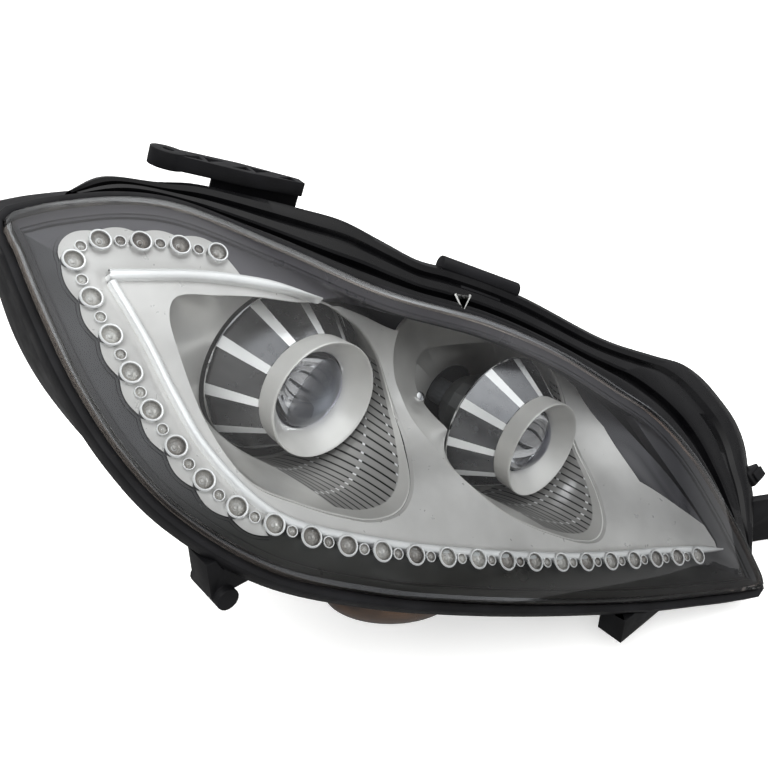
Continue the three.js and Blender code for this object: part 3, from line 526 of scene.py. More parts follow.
def slotted(name, across, first, last, near, far, step):
    """Satin silver wall of an eye, with a patch of dark slots that run along the beam."""
    material, tree = fresh(name)
    place = add(tree, "ShaderNodeSeparateXYZ", {"Vector": coordinates(tree, kind="UV")})
    u, v = place.outputs["X"], place.outputs["Y"]

    def math_node(operation, a, b):
        return add(tree, "ShaderNodeMath", {0: a, 1: b}, operation=operation).outputs[0]

    def window(value, low, high, soft):
        rise = add(tree, "ShaderNodeMapRange", {"Value": value, "From Min": low, "From Max": low + soft})
        fall = add(tree, "ShaderNodeMapRange", {
            "Value": value, "From Min": high - soft, "From Max": high, "To Min": 1.0, "To Max": 0.0})
        return math_node("MULTIPLY", rise.outputs[0], fall.outputs[0])

    stripe = math_node("FRACT", math_node("MULTIPLY", u, across), 0.0)
    line = window(stripe, 0.36, 0.64, 0.05)
    zone = math_node("MULTIPLY", window(u, first, last, 0.002), window(v, near, far, 0.01))
    slot = math_node("MULTIPLY", line, zone)
    # The webs that break the slots lie on a slanting line and catch the light.
    slant = math_node("ADD", v, math_node("MULTIPLY", u, 1.3))
    broken = math_node("FRACT", math_node("MULTIPLY", slant, 3.1), 0.0)
    web = math_node("MULTIPLY", slot, window(broken, 0.45, 0.56, 0.02))
    tone = ramp(tree, cloud(tree, 60), [(0.3, linear("cbc9c5")), (0.7, linear("dddbd7"))])
    patch = add(tree, "ShaderNodeMix", {"Factor": zone, "A": tone.outputs["Color"], "B": linear("a2a09d")},
                data_type="RGBA")
    dark = add(tree, "ShaderNodeMix", {"Factor": slot, "A": patch.outputs["Result"], "B": linear("121213")},
               data_type="RGBA")
    light = add(tree, "ShaderNodeMix", {"Factor": web, "A": dark.outputs["Result"], "B": linear("ffffff")},
                data_type="RGBA")
    # Behind the rim's outboard side the wall starts with a painted shadow: a dark band where the rim shades
    # it.
    shadow = math_node("MULTIPLY", window(u, *step, 0.05), window(v, 0.0, 0.17, 0.01))
    shaded = add(tree, "ShaderNodeMix", {
        "Factor": shadow, "A": light.outputs["Result"], "B": linear("3b3a40")}, data_type="RGBA")
    grain = math_node("MULTIPLY", cloud(tree, 0.8, 2.0), 0.04)
    relief = bump(tree, math_node("SUBTRACT", grain, slot), 0.6, 0.5)
    shader = add(tree, "ShaderNodeBsdfPrincipled", {
        "Base Color": shaded.outputs["Result"], "Metallic": 0.4,
        "Roughness": level(tree, cloud(tree, 20), 0.3, 0.4), "Normal": relief})
    return finish_material(material, shader)


LOOKS = {
    # Grained black polypropylene of the housing and brackets.
    "housing": plastic("grained black polypropylene", "0c0c0d", "151517", 0.44, 0.7, 0.06, sheen=0.25),
    # Smoother black of caps and clips.
    "cap": plastic("fine black nylon", "0c0c0d", "141416", 0.36, 0.4, 0.03, sheen=0.3),
    # Polished black shroud with a lacquered shine.
    "gloss": plastic("polished black", "040405", "09090a", 0.24, 1.5, 0.02, coat=0.15, sheen=0.3),
    # Glossy dark brown of the ballast tub: a painted reflection of the table on its glossy underside.
    "brown": plastic("glossy dark brown", "2a1d14", "5d4430", 0.2, 2.0, 0.01, coat=0.4),
    "rubber": plastic("matt black rubber", "0e0e0e", "181818", 0.75, 0.3, 0.04),
    "grey": plastic("grey glass-filled nylon", "5a5c5e", "707274", 0.5, 0.5, 0.05),
    "pale": plastic("pale grey acetal", "a5a6a4", "bdbebb", 0.45, 0.5, 0.03),
    "nylon": plastic("natural nylon", "c4bda8", "d8d1bf", 0.42, 0.6, 0.03),
    "board": plastic("green circuit board", "173322", "24482f", 0.35, 0.5, 0.04),
    "smoked": smoked_moulding(),
    # Silver paint over plastic, with a soft sheen.
    "satin": metal("satin silver paint", "cccac7", "dddbd8", 0.3, 0.5, 0.008, metallic=0.4),
    "pearl": metal("pearl silver paint", "cfcdc9", "dedcd8", 0.34, 0.5, 0.006, metallic=0.3),
    "chrome": metal("bright chrome", "e9eaeb", "f6f6f6", 0.06, 2.0, 0.003),
    # Bright strip: chrome, with part of its white reflection painted into a pale base colour, so it stays
    # white from most sides.
    "line": metal("chrome whitened by painted reflection", "f4f4f3", "fdfdfc", 0.18, 2.0, 0.003, metallic=0.35),
    # Dark chrome tone: painted shade on the drum's wide facets and painted shadow along the lamp tray's
    # wall.
    "drum": metal("brushed chrome darkened by painted shade", "6d6e72", "a3a3a5", 0.24, 0.5, 0.012, stretch=(1, 0.08, 1)),
    "steel": metal("zinc-plated steel", "8e9092", "a9abad", 0.3, 0.6, 0.02),
    # Behind the projector's glass: pale metallised wall with a lavender cast.
    "well": metal("metallised projector wall", "b9b8c6", "dddce8", 0.3, 1.0, 0.01, metallic=0.15),
    "aluminium": metal("cast aluminium", "9c9ea0", "b4b6b8", 0.42, 0.8, 0.06),
    "cup": metal("metallised lamp cup", "8d8279", "f0ece6", 0.2, 1.6, 0.5, metallic=0.5),
    # The clear lip around each little lamp, which mirrors the light all round.
    "lip": clear("clear lamp lip", "f6f6f6", 1.5, 0.12, 0.5, 2, 0.2),
    "cover": clear("clear hard-coated cover", "f4f6f7"),
    "optic": clear("clear lamp optic", "e8ebec", 1.6, 0.03, 0.06, 3, 0.15),
    "skirt": clear("cover's moulded edge", "cfc3ba", 1.4, 0.08, 0.12, 8, 0.05),
    "low_bowl": slotted("satin wall with slots, low beam", 84, 0.15, 0.44, 0.08, 0.93, (0.55, 0.8)),
    "high_bowl": slotted("satin wall with slots, high beam", 84, 0.37, 0.69, 0.08, 0.93, (0.0, 0.02)),
    # Smoked trim at the inboard end, with the light and shade of soft vertical folds painted into its tone.
    "end": smoked_end(),
}


def projector_glass():
    """Polished glass of a projector lens, which lets the lamps' light through."""
    material, tree = fresh("polished projector glass")
    glass = add(tree, "ShaderNodeBsdfPrincipled", {
        "Base Color": linear("f2f3f8"), "Roughness": 0.01, "IOR": 1.5, "Transmission Weight": 1.0,
        "Normal": bump(tree, cloud(tree, 12, 1.0), 0.1, 0.01)})
    through = add(tree, "ShaderNodeBsdfTransparent", {"Color": linear("e6e7ee")})
    path = add(tree, "ShaderNodeLightPath")
    mixed = add(tree, "ShaderNodeMixShader", {
        0: path.outputs["Is Shadow Ray"], 1: glass.outputs[0], 2: through.outputs[0]})
    return finish_material(material, mixed)


LOOKS["glass"] = projector_glass()

# ------------------------------------------------------------------ cover, rim and seal
SHOULDER = 12
CROWN = 22
COVER_FOOT = 4
COVER_WALL = 3


def cover_height(share):
    return SHOULDER + CROWN * (1 - share ** 2.2)


def face_ring(outline, share, height):
    """The outline drawn in towards the face's heart, at one height."""
    return [Vector((*(HEART + (p - HEART) * share), height)) for p in outline]


def clear_cover():
    edge = grow(LENS_EDGE, 1.4)
    shares = [math.sin(math.pi / 2 * i / 26) for i in range(27)]
    rows = [face_ring(edge, s, cover_height(s)) for s in shares]
    piece(sheet(rows, closed=True), "clear_cover", LOOKS["cover"], place=FACE,
          stands_for=("lens_cover",), sharp=60)
    outer = [face_ring(grow(LENS_EDGE, 1.4 + bulge), 1, h) for bulge, h in (
        (0, SHOULDER), (0.5, SHOULDER - 1.2), (0.7, SHOULDER - 3), (0.7, COVER_FOOT))]
    inner = [face_ring(grow(LENS_EDGE, -COVER_WALL + 0.7), 1, h) for h in (COVER_FOOT, SHOULDER - 1)]
    piece(sheet(outer + inner, closed=True), "clear_cover_edge", LOOKS["skirt"], place=FACE,
          sharp=50)


clear_cover()


# ------------------------------------------------------------------ outer bezel and its lamps
STRIP_HALF = 2.6
STRIP_GAP = 0.6


def outer_bezel():
    hole = grow(OPENING, STRIP_HALF - 0.6)
    toward = [reach(hole, HEART, p) for p in LENS_EDGE]
    levels = ((-2.5, 7.5), (-4.5, 6.6), (-8, 5.6), (-8.6, 4.4), (-10, 3.8), (-10.6, 1.6))
    rows = [[Vector((*q, h)) for q in grow(LENS_EDGE, out)] for out, h in levels]
    start = grow(LENS_EDGE, -10.6)
    for share, height in ((0.15, 0.6), (0.35, -0.6), (0.6, -2.0), (0.85, -3.2), (1.0, -3.8)):
        rows.append([Vector((*a.lerp(b, share), height)) for a, b in zip(start, toward)])
    rows.append([Vector((*b, -12)) for b in toward])
    piece(sheet(rows, closed=True), "outer_bezel_trim", LOOKS["smoked"], place=FACE,
          stands_for=("outer_bezel",), sharp=35)


outer_bezel()


def strip_side(path, widths, height):
    """A rounded bar along a path, of changing width."""
    section = [(math.cos(a), math.sin(a)) for a in (math.pi * i / 10 for i in range(11))]
    rows = []
    for across, up in section:
        line = sideways(path, [w * across for w in widths])
        rows.append([Vector((*p, -6 + (height + 6) * max(up, 0) ** 0.22)) for p in line])
    return sheet(rows)


def chrome_strip():
    upper = smooth(STRIP_UPPER, 70, False)
    lower = smooth(STRIP_LOWER, 220, False)
    upper_half = [4.3 * min(1, 0.15 + i / 22) for i in range(len(upper))]
    lower_half = [3.1 * min(1, 0.3 + (len(lower) - 1 - i) / 12) for i in range(len(lower))]
    bars = joined(strip_side(upper, upper_half, 3), strip_side(lower, lower_half, 3),
                  rod(3.6, (-120, 179.5, -6), (-120, 179.5, 2.9), 24, 1.2))
    # The strip takes the white chrome look, whose whiteness is partly a painted reflection.
    piece(bars, "chrome_line", LOOKS["line"], place=FACE, stands_for=("chrome_strip",))


chrome_strip()

SMALL_LAMP = 3.7 / 6.9   # a small lamp's size beside a big one
LAMP_SCALE = 1.12
CUP_PROFILE = [(0, 1.6), (1.3, 1.2), (1.5, -0.4), (3.4, 0.6), (3.6, 1.3), (5.6, 3.2)]
LIP_PROFILE = [(5.4, 3.0), (5.8, 4.0), (6.6, 4.1), (7.1, 3.4)]
SLEEVE_PROFILE = [(7.1, 3.4), (7.35, 2.6), (7.4, -3.0)]
DOME_PROFILE = [(5.8, 3.9), (4.8, 4.9), (3.4, 5.6), (1.7, 6.0), (0, 6.1)]
SIDE_LAMPS = 12          # the lamps of the top and outboard side, which stand on a scalloped tray


def lamp_tray():
    """Satin tray under the outboard lamps, with an arc of wall from each lamp to the next."""
    last = SIDE_LAMPS * LED_STEP
    line = LED_LINE[:last + 1]
    arcs = [10.2 + 3.4 * abs(math.sin(math.pi * i / LED_STEP)) for i in range(len(line))]
    hole = grow(OPENING, STRIP_HALF - 0.4)
    inner = [reach(hole, HEART, p) for p in line]
    top = sideways(line, [-a + 2.6 for a in arcs])
    wall = sideways(line, [-a for a in arcs])
    rows = [[Vector((*p, -3.2)) for p in inner]]
    for share, height in ((0.15, -1.6), (0.3, -1.0), (0.6, -0.4), (0.85, 0.3), (1.0, 1.0)):
        rows.append([Vector((*a.lerp(b, share), height)) for a, b in zip(inner, top)])
    piece(sheet(rows), "lamp_tray", LOOKS["satin"], place=FACE)
    groove = sideways(line, [-a + 1.2 for a in arcs])
    foot = sideways(line, [-a - 0.8 for a in arcs])
    # The wall takes the dark chrome look: a painted shadow, the dark crescents along the tray's scalloped
    # edge.
    walls = [[Vector((*p, height)) for p in path]
             for path, height in ((top, 1.0), (groove, -2.8), (wall, 0.8), (foot, -3.0))]
    piece(sheet(walls), "lamp_tray_wall", LOOKS["drum"], place=FACE, sharp=20)


lamp_tray()


def lamp_row():
    """Each little lamp: a facetted cup, a bright lip and a clear dome, with a smaller one between."""
    cups, lips, sleeves, domes = [], [], [], []
    spots = [(p, 1.0) for p in LED_PLACES]
    half = LED_STEP // 2
    spots += [(LED_LINE[i * LED_STEP + half], SMALL_LAMP) for i in range(LED_COUNT - 1)]
    upright = Matrix.Rotation(math.pi / 2, 4, "X")
    for place, scale in spots:
        at = Matrix.Translation((place.x, place.y, 0)) @ upright @ Matrix.Scale(scale * LAMP_SCALE, 4)
        big = scale == 1.0
        cups.append(moved(turned(CUP_PROFILE, 10), at))
        lips.append(moved(turned(LIP_PROFILE, 32), at))
        sleeves.append(moved(turned(SLEEVE_PROFILE, 32), at))
        domes.append(moved(turned(DOME_PROFILE, 32 if big else 20), at))
    piece(joined(*cups), "lamp_cups", LOOKS["cup"], place=FACE, sharp=15)
    # The lips take the white chrome look: their bright rims are partly a painted reflection.
    piece(joined(*lips), "lamp_lips", LOOKS["line"], place=FACE)
    piece(joined(*sleeves), "lamp_sleeves", LOOKS["lip"], place=FACE)
    piece(joined(*domes), "lamp_domes", LOOKS["cover"], place=FACE, stands_for=("led_lens_strip",))


lamp_row()
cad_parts["led_board"].data.materials.clear()
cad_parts["led_board"].data.materials.append(LOOKS["board"])


# ------------------------------------------------------------------ inner bezel
def eye_prism(outline, outwards):
    """A block through an eye, along the beam, in the face's axes."""
    flat = [(p.x, p.y) for p in grow(outline, outwards)]
    bm = prism(flat, -260, 120)
    upright = Matrix.Rotation(math.pi / 2, 4, "X")
    return moved(bm, LAMP_IN_FACE @ upright @ Matrix.Scale(-1, 4, (0, 0, 1)))


def bezel_sheet():
    across, up = 120, 130
    rows = []
    for j in range(up + 1):
        v = -290 + 490 * j / up
        rows.append([Vector((u, v, bezel_height(u, v)))
                     for u in (-140 + 440 * i / across for i in range(across + 1))])
    bm = sheet(rows)
    bmesh.ops.recalc_face_normals(bm, faces=bm.faces)
    bmesh.ops.solidify(bm, geom=bm.faces[:], thickness=2.0)
    return bm


def inner_bezel():
    well = [(p.x, p.y) for p in grow(OPENING, -STRIP_HALF - STRIP_GAP)]
    sheet_cut = carved(bezel_sheet(), prism(well, -80, 10), "INTERSECT")
    sheet_cut = carved(sheet_cut, eye_prism(LOW_EYE, 0.4), "DIFFERENCE")
    sheet_cut = carved(sheet_cut, eye_prism(HIGH_EYE, 0.4), "DIFFERENCE")
    smoked = sheet_cut.copy()
    satin = carved(sheet_cut, prism(SMOKED_EDGE, -80, 10), "DIFFERENCE")
    panel = carved(smoked, prism(grow(SMOKED_EDGE, -0.6), -80, 10), "INTERSECT")
    piece(satin, "inner_bezel_panel", LOOKS["satin"], place=FACE, stands_for=("inner_bezel",),
          sharp=30)
    piece(panel, "smoked_end_panel", LOOKS["end"], place=FACE, stands_for=("smoked_panel",),
          sharp=30)


inner_bezel()

# ------------------------------------------------------------------ the eyes
BOWL_END_R = 79
BOWL_END_Y = 60
BOWL_LIP = 10
EYES = (
    ("low", LOW_EYE, Vector((0, 0, 0)), 1.0, "low_bowl"),
    ("high", HIGH_EYE, HIGH, HIGH_SCALE, "high_bowl"),
)


def eye_bowl(name, outline, axis, scale, look):
    """A wall from the eye's rim on the bezel back to a circle around its projector."""
    rim = grow(outline, -0.6)
    fronts = [rim_depth(p.x, p.y) for p in rim]
    end_r = BOWL_END_R * scale
    rows = []
    for step in range(29):
        t = step / 28
        row = []
        for p, front in zip(rim, fronts):
            away = Vector((p.x - axis.x, p.y - axis.z)).normalized()
            end = Vector((axis.x + away.x * end_r, axis.z + away.y * end_r))
            end_y = max(axis.y + BOWL_END_Y * scale, front + BOWL_LIP)
            flat = p.lerp(end, t ** 2.2)
            row.append(Vector((flat.x, front + (end_y - front) * t, flat.y)))
        rows.append(row)
    # The high beam's drum stands clear of its wall, so a floor closes the gap behind it.
    if name == "high":
        wall_end = rows[-1]
        floor_y = max(p.y for p in wall_end) + 2
        for share in (0.97, 0.45):
            rows.append([Vector((axis.x + (p.x - axis.x) * share, floor_y, axis.z + (p.z - axis.z) * share))
                         for p in wall_end])
    bead = []
    for out, ahead in ((1.3, -1.2), (0.9, 0.6), (0, 1.2), (-0.5, 0.6), (-0.6, -0.6)):
        ring = grow(outline, out)
        bead.append([Vector((p.x, front - ahead, p.y)) for p, front in zip(ring, fronts)])
    piece(sheet(rows, closed=True), f"{name}_eye_wall", LOOKS[look],
          stands_for=(f"{name}_beam_bowl", f"{name}_slotted_panel"), sharp=60)
    piece(sheet(bead, closed=True), f"{name}_eye_rim", LOOKS["pearl"], sharp=60)


for eye in EYES:
    eye_bowl(*eye)

# ------------------------------------------------------------------ projector units
RING_PROFILE = [
    (34, 22.2), (34.2, 20), (36, 17.4), (39, 13), (42.6, 8.2), (45.8, 3.8), (47.6, 1.4), (48.6, 0.4),
    (49.4, 0.1), (50, 0.8), (49.9, 3), (49.5, 12), (49.1, 20.6), (34, 22.4)]
LENS_PROFILE = [
    (0, 2), (4, 2.2), (8, 2.9), (12, 4.1), (16, 5.9), (20, 8.1), (24, 10.9), (28, 14.4), (31, 18.2),
    (32.6, 21.4), (33, 23), (33, 25.6), (0, 25.6)]
WELL_PROFILE = [(33.4, 22), (35, 26.4), (36.6, 44), (38, 66), (30, 74), (16, 80), (0, 82)]
SEAT_PROFILE = [(30.2, 23.6), (34.2, 23.2), (34.2, 26.2), (31, 26.6), (30.2, 23.6)]


def drum_facets(centre, scale):
    """A cone of flat facets, wide and narrow in turn. Returns the wide and the narrow ones."""
    front_r, back_r = 49.3, 72.6
    front_y, back_y = 21.6, 62.6
    count = 11
    share = 0.76
    angles = []
    for i in range(count):
        start = TURN * (i + 0.35) / count
        angles += [start, start + TURN / count * share]

    def wall(first):
        parts = []
        for i in range(first, 2 * count, 2):
            a, b = angles[i], angles[(i + 1) % (2 * count)]
            rows = []
            for r, y in ((front_r - 1.4, front_y - 0.2), (front_r, front_y), (back_r, back_y),
                         (back_r - 1.5, back_y + 0.4)):
                ends = [Vector((math.cos(angle) * r, y, math.sin(angle) * r)) for angle in (a, b)]
                rows.append([centre + ends[0].lerp(ends[1], k / 4) * scale for k in range(5)])
            parts.append(sheet(rows))
        return joined(*parts)

    return wall(0), wall(1)


def projector(name, body, centre, scale):
    piece(turned(RING_PROFILE, 128, centre, scale), f"{name}_trim_ring", LOOKS["pearl"], body,
          stands_for=(f"{name}_beam_ring",), sharp=50)
    piece(turned(LENS_PROFILE, 96, centre, scale), f"{name}_glass", LOOKS["glass"], body,
          stands_for=(f"{name}_beam_lens",), sharp=40)
    piece(turned(SEAT_PROFILE, 96, centre, scale), f"{name}_glass_seat", LOOKS["cap"], body,
          sharp=40)
    piece(turned(WELL_PROFILE, 64, centre, scale), f"{name}_well", LOOKS["well"], body)
    # One chrome drum in two tones: the wide facets painted dark as shade, the narrow ones painted white as
    # highlight.
    wide, narrow = drum_facets(centre, scale)
    piece(wide, f"{name}_drum_wide_facets", LOOKS["drum"], body, stands_for=(f"{name}_beam_drum",),
          sharp=5)
    piece(narrow, f"{name}_drum_narrow_facets", LOOKS["line"], body, sharp=5)
    rim = turned([(72.4, 62), (73.2, 62.4), (73.2, 63.4), (72.2, 63.8), (71, 63.2)], 128, centre, scale)
    piece(rim, f"{name}_drum_rim", LOOKS["chrome"], body)


projector("low", "low_projector", Vector((0, 0, 0)), 1.0)
projector("high", "high_projector", HIGH, HIGH_SCALE)

for part in ("low_beam_holder", "high_beam_holder", "low_beam_reflector", "high_beam_reflector",
             "swivel_yoke", "high_beam_yoke", "ballast"):
    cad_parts[part].data.materials.clear()
    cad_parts[part].data.materials.append(LOOKS["aluminium"])

# ------------------------------------------------------------------ housing
RIM_OUT = 9
REAR_LOW_Y = 168
REAR_HIGH_Y = 78
STEP_X = 108
BACK_CENTRE = Vector((30, 10))
BACK_SCALE = (0.86, 0.84)


def housing_rows(outline, back_y, steps):
    """The face's outline carried back along the beams, rounding in to a smaller one."""
    rows = []
    for step in range(steps + 1):
        t = math.sin(math.pi / 2 * step / steps)
        inward = t ** 4
        row = []
        for p in outline:
            front = FACE_IN_LAMP @ Vector((p.x, p.y, -2))
            x = front.x + ((BACK_CENTRE.x + (front.x - BACK_CENTRE.x) * BACK_SCALE[0]) - front.x) * inward
            z = front.z + ((BACK_CENTRE.y + (front.z - BACK_CENTRE.y) * BACK_SCALE[1]) - front.z) * inward
            row.append(Vector((x, front.y + (back_y - front.y) * t, z)))
        rows.append(row)
    return rows


def housing():
    body = sheet(housing_rows(grow(LENS_EDGE, RIM_OUT - 3), REAR_LOW_Y, 30), closed=True)
    bmesh.ops.holes_fill(body, edges=body.edges, sides=0)
    step = block((400, 400, 800), (STEP_X + 200, REAR_HIGH_Y + 200, 0))
    body = carved(body, step, "DIFFERENCE")
    bmesh.ops.recalc_face_normals(body, faces=body.faces)
    front = [f for f in body.faces
             if abs((LAMP_IN_FACE @ f.calc_center_median()).z + 2) < 0.3 and len(f.verts) > 60]
    bmesh.ops.delete(body, geom=front, context="FACES")
    piece(body, "housing_body", LOOKS["housing"], stands_for=("housing_shell",),
          sharp=40, thick=2.6)
    rows = []
    for out, height in ((6, -8), (8.4, -8), (9, -7), (9, 5.6), (8.4, 6.8), (7.6, 7), (3.4, 7), (2.4, 6.2),
                        (2.2, -2), (-6, -2), (-6, -8)):
        rows.append([Vector((*p, height)) for p in grow(LENS_EDGE, out)])
    piece(sheet(rows, closed=True), "housing_rim", LOOKS["housing"], place=FACE,
          sharp=40)


housing()

RIB_PITCH = 24
RIB_WALL = 2
RIB_HEIGHT = 5
RIB_INSET = -8
RIB_CLEAR = 4
RIB_CLEAR_DEPTH = 60
REAR_PARTS = ("low_beam_rear_cap", "high_beam_rear_cap", "connector_socket", "level_motor", "vent_cap",
              "vertical_adjuster", "horizontal_adjuster")


def rear_outline(y):
    """Where the housing's wall crosses one depth: pairs of lamp x and z."""
    rows = housing_rows(grow(LENS_EDGE, RIM_OUT - 3), REAR_LOW_Y, 30)
    ring = []
    for column in zip(*rows):
        after = next(i for i, point in enumerate(column) if point.y >= y - 0.01)
        a, b = column[max(after - 1, 0)], column[after]
        share = (y - a.y) / max(b.y - a.y, 1e-6)
        ring.append(Vector((a.x + (b.x - a.x) * share, a.z + (b.z - a.z) * share)))
    return ring


def keep_clear(node, y):
    """A block that clears the ribs away around one of the parts on the back."""
    low, high = ((corner - LAMP_ZERO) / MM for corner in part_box(node))
    centre = (low + high) / 2
    size = high - low
    return block((size.x + 2 * RIB_CLEAR, RIB_CLEAR_DEPTH, size.z + 2 * RIB_CLEAR), (centre.x, y, centre.z))


def back_ribs():
    """Stiffening ribs in a lattice on the housing's two back faces."""
    upright = Matrix.Rotation(math.pi / 2, 4, "X") @ Matrix.Scale(-1, 4, (0, 0, 1))
    parts = []
    for first, last, y in ((-180, STEP_X - 5, REAR_LOW_Y), (STEP_X + 5, 340, REAR_HIGH_Y)):
        field = [(p.x, p.y) for p in grow(rear_outline(y), RIB_INSET)]
        deep = RIB_HEIGHT + 1
        at_y = y + RIB_HEIGHT / 2 - 0.5
        wide = last - first
        upright_bars = [block((RIB_WALL, deep, 600), (first + RIB_PITCH * (k + 0.5), at_y, 0))
                        for k in range(int(wide / RIB_PITCH))]
        level_bars = [block((wide, deep, RIB_WALL), ((first + last) / 2, at_y, RIB_PITCH * k))
                      for k in range(-10, 11)]
        for bars in (upright_bars, level_bars):
            lattice = carved(joined(*bars), moved(prism(field, y - 20, y + 20), upright), "INTERSECT")
            for node in REAR_PARTS:
                lattice = carved(lattice, keep_clear(node, y), "DIFFERENCE")
            parts.append(lattice)
    piece(joined(*parts), "housing_back_ribs", LOOKS["housing"], sharp=30)


back_ribs()

for part, look, body in (
        ("low_beam_rear_cap", "cap", "low_cap"), ("high_beam_rear_cap", "cap", "high_cap"),
        ("level_motor", "grey", "housing"), ("vent_cap", "rubber", "housing"),
        ("connector_socket", "grey", "housing"), ("top_arm", "housing", "housing"),
        ("upper_retainer", "housing", "housing"), ("foot_bracket", "housing", "housing"),
        ("lower_tab", "housing", "housing"), ("side_bracket", "housing", "housing"),
        ("vertical_adjuster", "nylon", "vertical_screw"),
        ("horizontal_adjuster", "nylon", "horizontal_screw"),
        ("v_clip", "pale", "housing"), ("bezel_screw", "chrome", "housing"),
        ("outboard_clip", "pale", "housing"), ("inboard_clip", "housing", "housing")):
    refined(part, LOOKS[look], body)

CLIP_SEAT = (400, -241, -16)
CLIP_SEAT_SIZE = (24, 16, 21)


def clip_seat():
    """The black post that carries the inboard clip, rising from the shroud's rolled edge."""
    post = block(CLIP_SEAT_SIZE, CLIP_SEAT)
    softened(post, 1.5)
    piece(post, "inboard_clip_seat", LOOKS["housing"], place=FACE)


clip_seat()

TRAY_TURN = math.radians(-33)
TRAY_MIDDLE = (-33, -110, -38)
TRAY_SIZE = (54.5, 23.5, 37.5)


def ballast_cover():
    """A smooth oval tub under the outboard end, open inside the housing. Its brown is a painted reflection
    of the table.
    """
    bm = bmesh.new()
    bmesh.ops.create_uvsphere(bm, u_segments=64, v_segments=32, radius=1)
    bmesh.ops.scale(bm, vec=TRAY_SIZE, verts=bm.verts)
    bmesh.ops.rotate(bm, matrix=Matrix.Rotation(TRAY_TURN, 3, "Z"), verts=bm.verts)
    bmesh.ops.translate(bm, vec=TRAY_MIDDLE, verts=bm.verts)
    piece(bm, "ballast_tub", LOOKS["brown"], place=FACE, stands_for=("ballast_cover",),
          sharp=60)


ballast_cover()

SHROUD_EDGE = [
    (-112, 251), (-84, 257), (-46, 243), (-20, 236), (22, 214), (60, 192), (94, 170), (123, 138),
    (146, 112), (176, 92), (237, 42), (312, -38), (370, -81), (408, -108), (424, -132), (431, -160),
    (433, -190), (424, -214), (404, -236), (385, -258), (352, -280), (322, -296), (304, -304),
]


# From the cover's rim to the shroud's edge: the share of the way across, and the height.
SKIRT_STEPS = (
    (0, -5), (0, 1.0), (0.1, 1.4), (0.14, 0.6), (0.16, -7), (0.28, -8), (0.3, -2.5), (0.34, -1.4),
    (0.5, -2.6), (0.56, -8), (0.66, -9.5), (0.7, -6), (0.82, -5.4), (0.92, -8), (0.97, -13), (1.0, -22),
    (0.99, -34))


def upper_shroud():
    """Black skirt above and inboard of the cover: lands with grooves between, and a rolled edge."""
    edge = smooth(SHROUD_EDGE, 220, False)
    rim = grow(LENS_EDGE, RIM_OUT + 0.6)
    roots = [reach(rim, HEART, p) for p in edge]
    rows = []
    for share, height in SKIRT_STEPS:
        rows.append([Vector((*a.lerp(b, share), height)) for a, b in zip(roots, edge)])
    piece(sheet(rows), "upper_shroud_skirt", LOOKS["gloss"], place=FACE, stands_for=("upper_shroud",),
          sharp=30)


upper_shroud()

for part, look in (
        ("lens_seal", "rubber"), ("low_beam_cap_seal", "rubber"), ("high_beam_cap_seal", "rubber"),
        ("corner_boss", "lip"),
        ("tilt_frame", "cap"), ("swivel_motor", "grey"), ("low_beam_igniter", "grey"),
        ("high_beam_socket", "grey"), ("shutter_plate", "steel"), ("shutter_solenoid", "steel"),
        ("level_plunger", "nylon"), ("low_beam_bulb", "optic"), ("high_beam_bulb", "optic"),
        ("low_pivot_post_outboard", "cap"), ("low_pivot_post_inboard", "cap"),
        ("high_pivot_post_outboard", "cap"), ("high_pivot_post_inboard", "cap")):
    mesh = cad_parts[part].data
    mesh.materials.clear()
    mesh.materials.append(LOOKS[look])


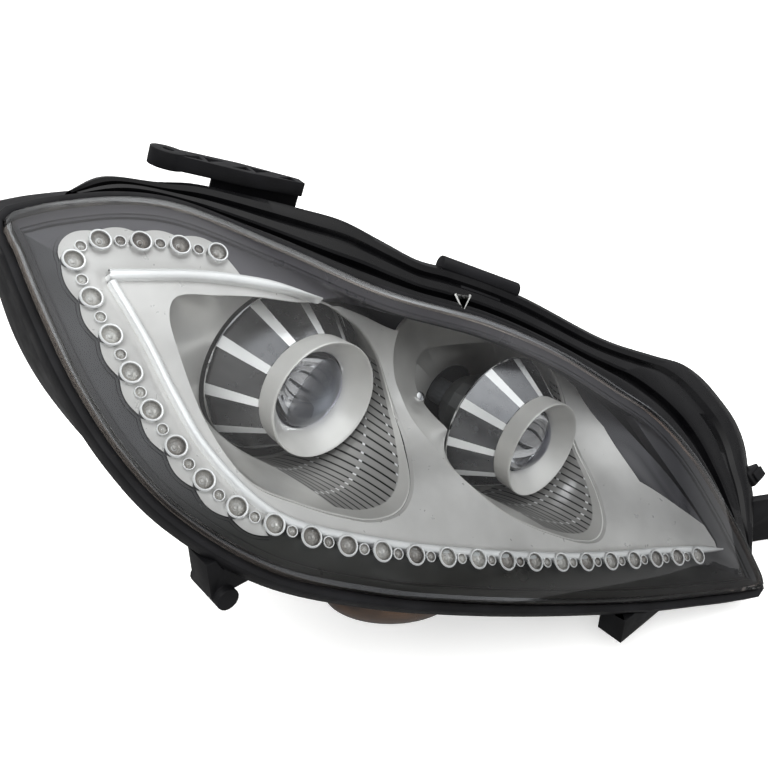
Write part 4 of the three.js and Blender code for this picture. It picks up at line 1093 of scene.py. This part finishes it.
# ------------------------------------------------------------------ stage, lights and camera
def stage():
    low, high = CAD_BOUNDS[0], CAD_BOUNDS[1]
    bm = bmesh.new()
    bmesh.ops.create_grid(bm, x_segments=4, y_segments=4, size=60)
    bmesh.ops.translate(bm, vec=Vector((0, 0, low[2] - 0.002)), verts=bm.verts)
    floor = as_object(bm, "floor")
    material, tree = fresh("pale studio floor")
    pale = ramp(tree, cloud(tree, 900), [(0, linear("f4f4f3")), (1, linear("fafaf9"))])
    matt = add(tree, "ShaderNodeBsdfDiffuse", {"Color": pale.outputs["Color"]})
    glow = add(tree, "ShaderNodeEmission", {"Color": pale.outputs["Color"], "Strength": 0.4})
    seen = add(tree, "ShaderNodeAddShader", {0: matt.outputs[0], 1: glow.outputs[0]})
    # The floor looks white to the camera, but black plastics mirror a darker one.
    mirrored = add(tree, "ShaderNodeBsdfDiffuse", {"Color": linear("6e6e6e")})
    path = add(tree, "ShaderNodeLightPath")
    shader = add(tree, "ShaderNodeMixShader", {
        0: path.outputs["Is Camera Ray"], 1: mirrored.outputs[0], 2: seen.outputs[0]})
    floor.data.materials.append(finish_material(material, shader))

    world = bpy.data.worlds.new("studio")
    world.use_nodes = True
    tree = world.node_tree
    direction = add(tree, "ShaderNodeTexCoord").outputs["Generated"]
    up = add(tree, "ShaderNodeSeparateXYZ", {"Vector": direction}).outputs["Z"]
    sky = ramp(tree, up, [(0.0, linear("b4b4b5")), (0.1, linear("444446")), (0.3, linear("9a9a9c")),
                          (0.5, linear("626264")), (0.7, linear("c8c8c8")), (0.9, linear("ffffff"))])
    path = add(tree, "ShaderNodeLightPath")
    seen = add(tree, "ShaderNodeMix", {
        "Factor": path.outputs["Is Camera Ray"], "A": sky.outputs["Color"], "B": (0.7, 0.7, 0.7, 1)},
        data_type="RGBA")
    tree.links.new(seen.outputs["Result"], tree.nodes["Background"].inputs["Color"])
    tree.nodes["Background"].inputs["Strength"].default_value = 1.5
    bpy.context.scene.world = world
    bpy.context.scene.view_settings.view_transform = "Standard"


def light(name, kind, place, target, energy, size, size_y=None):
    data = bpy.data.lights.new(name, kind)
    data.energy = energy
    data.size = size
    if size_y:
        data.shape = "RECTANGLE"
        data.size_y = size_y
    lamp = bpy.data.objects.new(name, data)
    lamp.location = place
    lamp.rotation_euler = (Vector(target) - Vector(place)).to_track_quat("-Z", "Y").to_euler()
    lamp.visible_glossy = False
    bpy.context.scene.collection.objects.link(lamp)
    return lamp


stage()
CENTRE = (Vector(CAD_BOUNDS[0]) + Vector(CAD_BOUNDS[1])) / 2
light("key", "AREA", CENTRE + Vector((-1.5, -1.0, 1.9)), CENTRE, 60, 1.4)
light("top", "AREA", CENTRE + Vector((0.3, 0.3, 2.2)), CENTRE, 40, 1.6)
light("front", "AREA", CENTRE + Vector((-0.2, -2.4, 0.5)), CENTRE, 22, 1.2)

AZIMUTH = -40.5
ELEVATION = 31
FOCAL_MM = 39.84
CAMERA_TURN = (Matrix.Rotation(math.radians(AZIMUTH), 3, "Z")
               @ Matrix.Rotation(math.radians(90 - ELEVATION), 3, "X"))
EYE_POINT = LAMP @ Vector((-335.7, -464.6, 359.0))
data = bpy.data.cameras.new("camera")
data.sensor_width = 36
data.lens = FOCAL_MM
camera = bpy.data.objects.new("camera", data)
camera.matrix_world = Matrix.Translation(EYE_POINT) @ CAMERA_TURN.to_4x4()
bpy.context.scene.collection.objects.link(camera)
bpy.context.scene.camera = camera
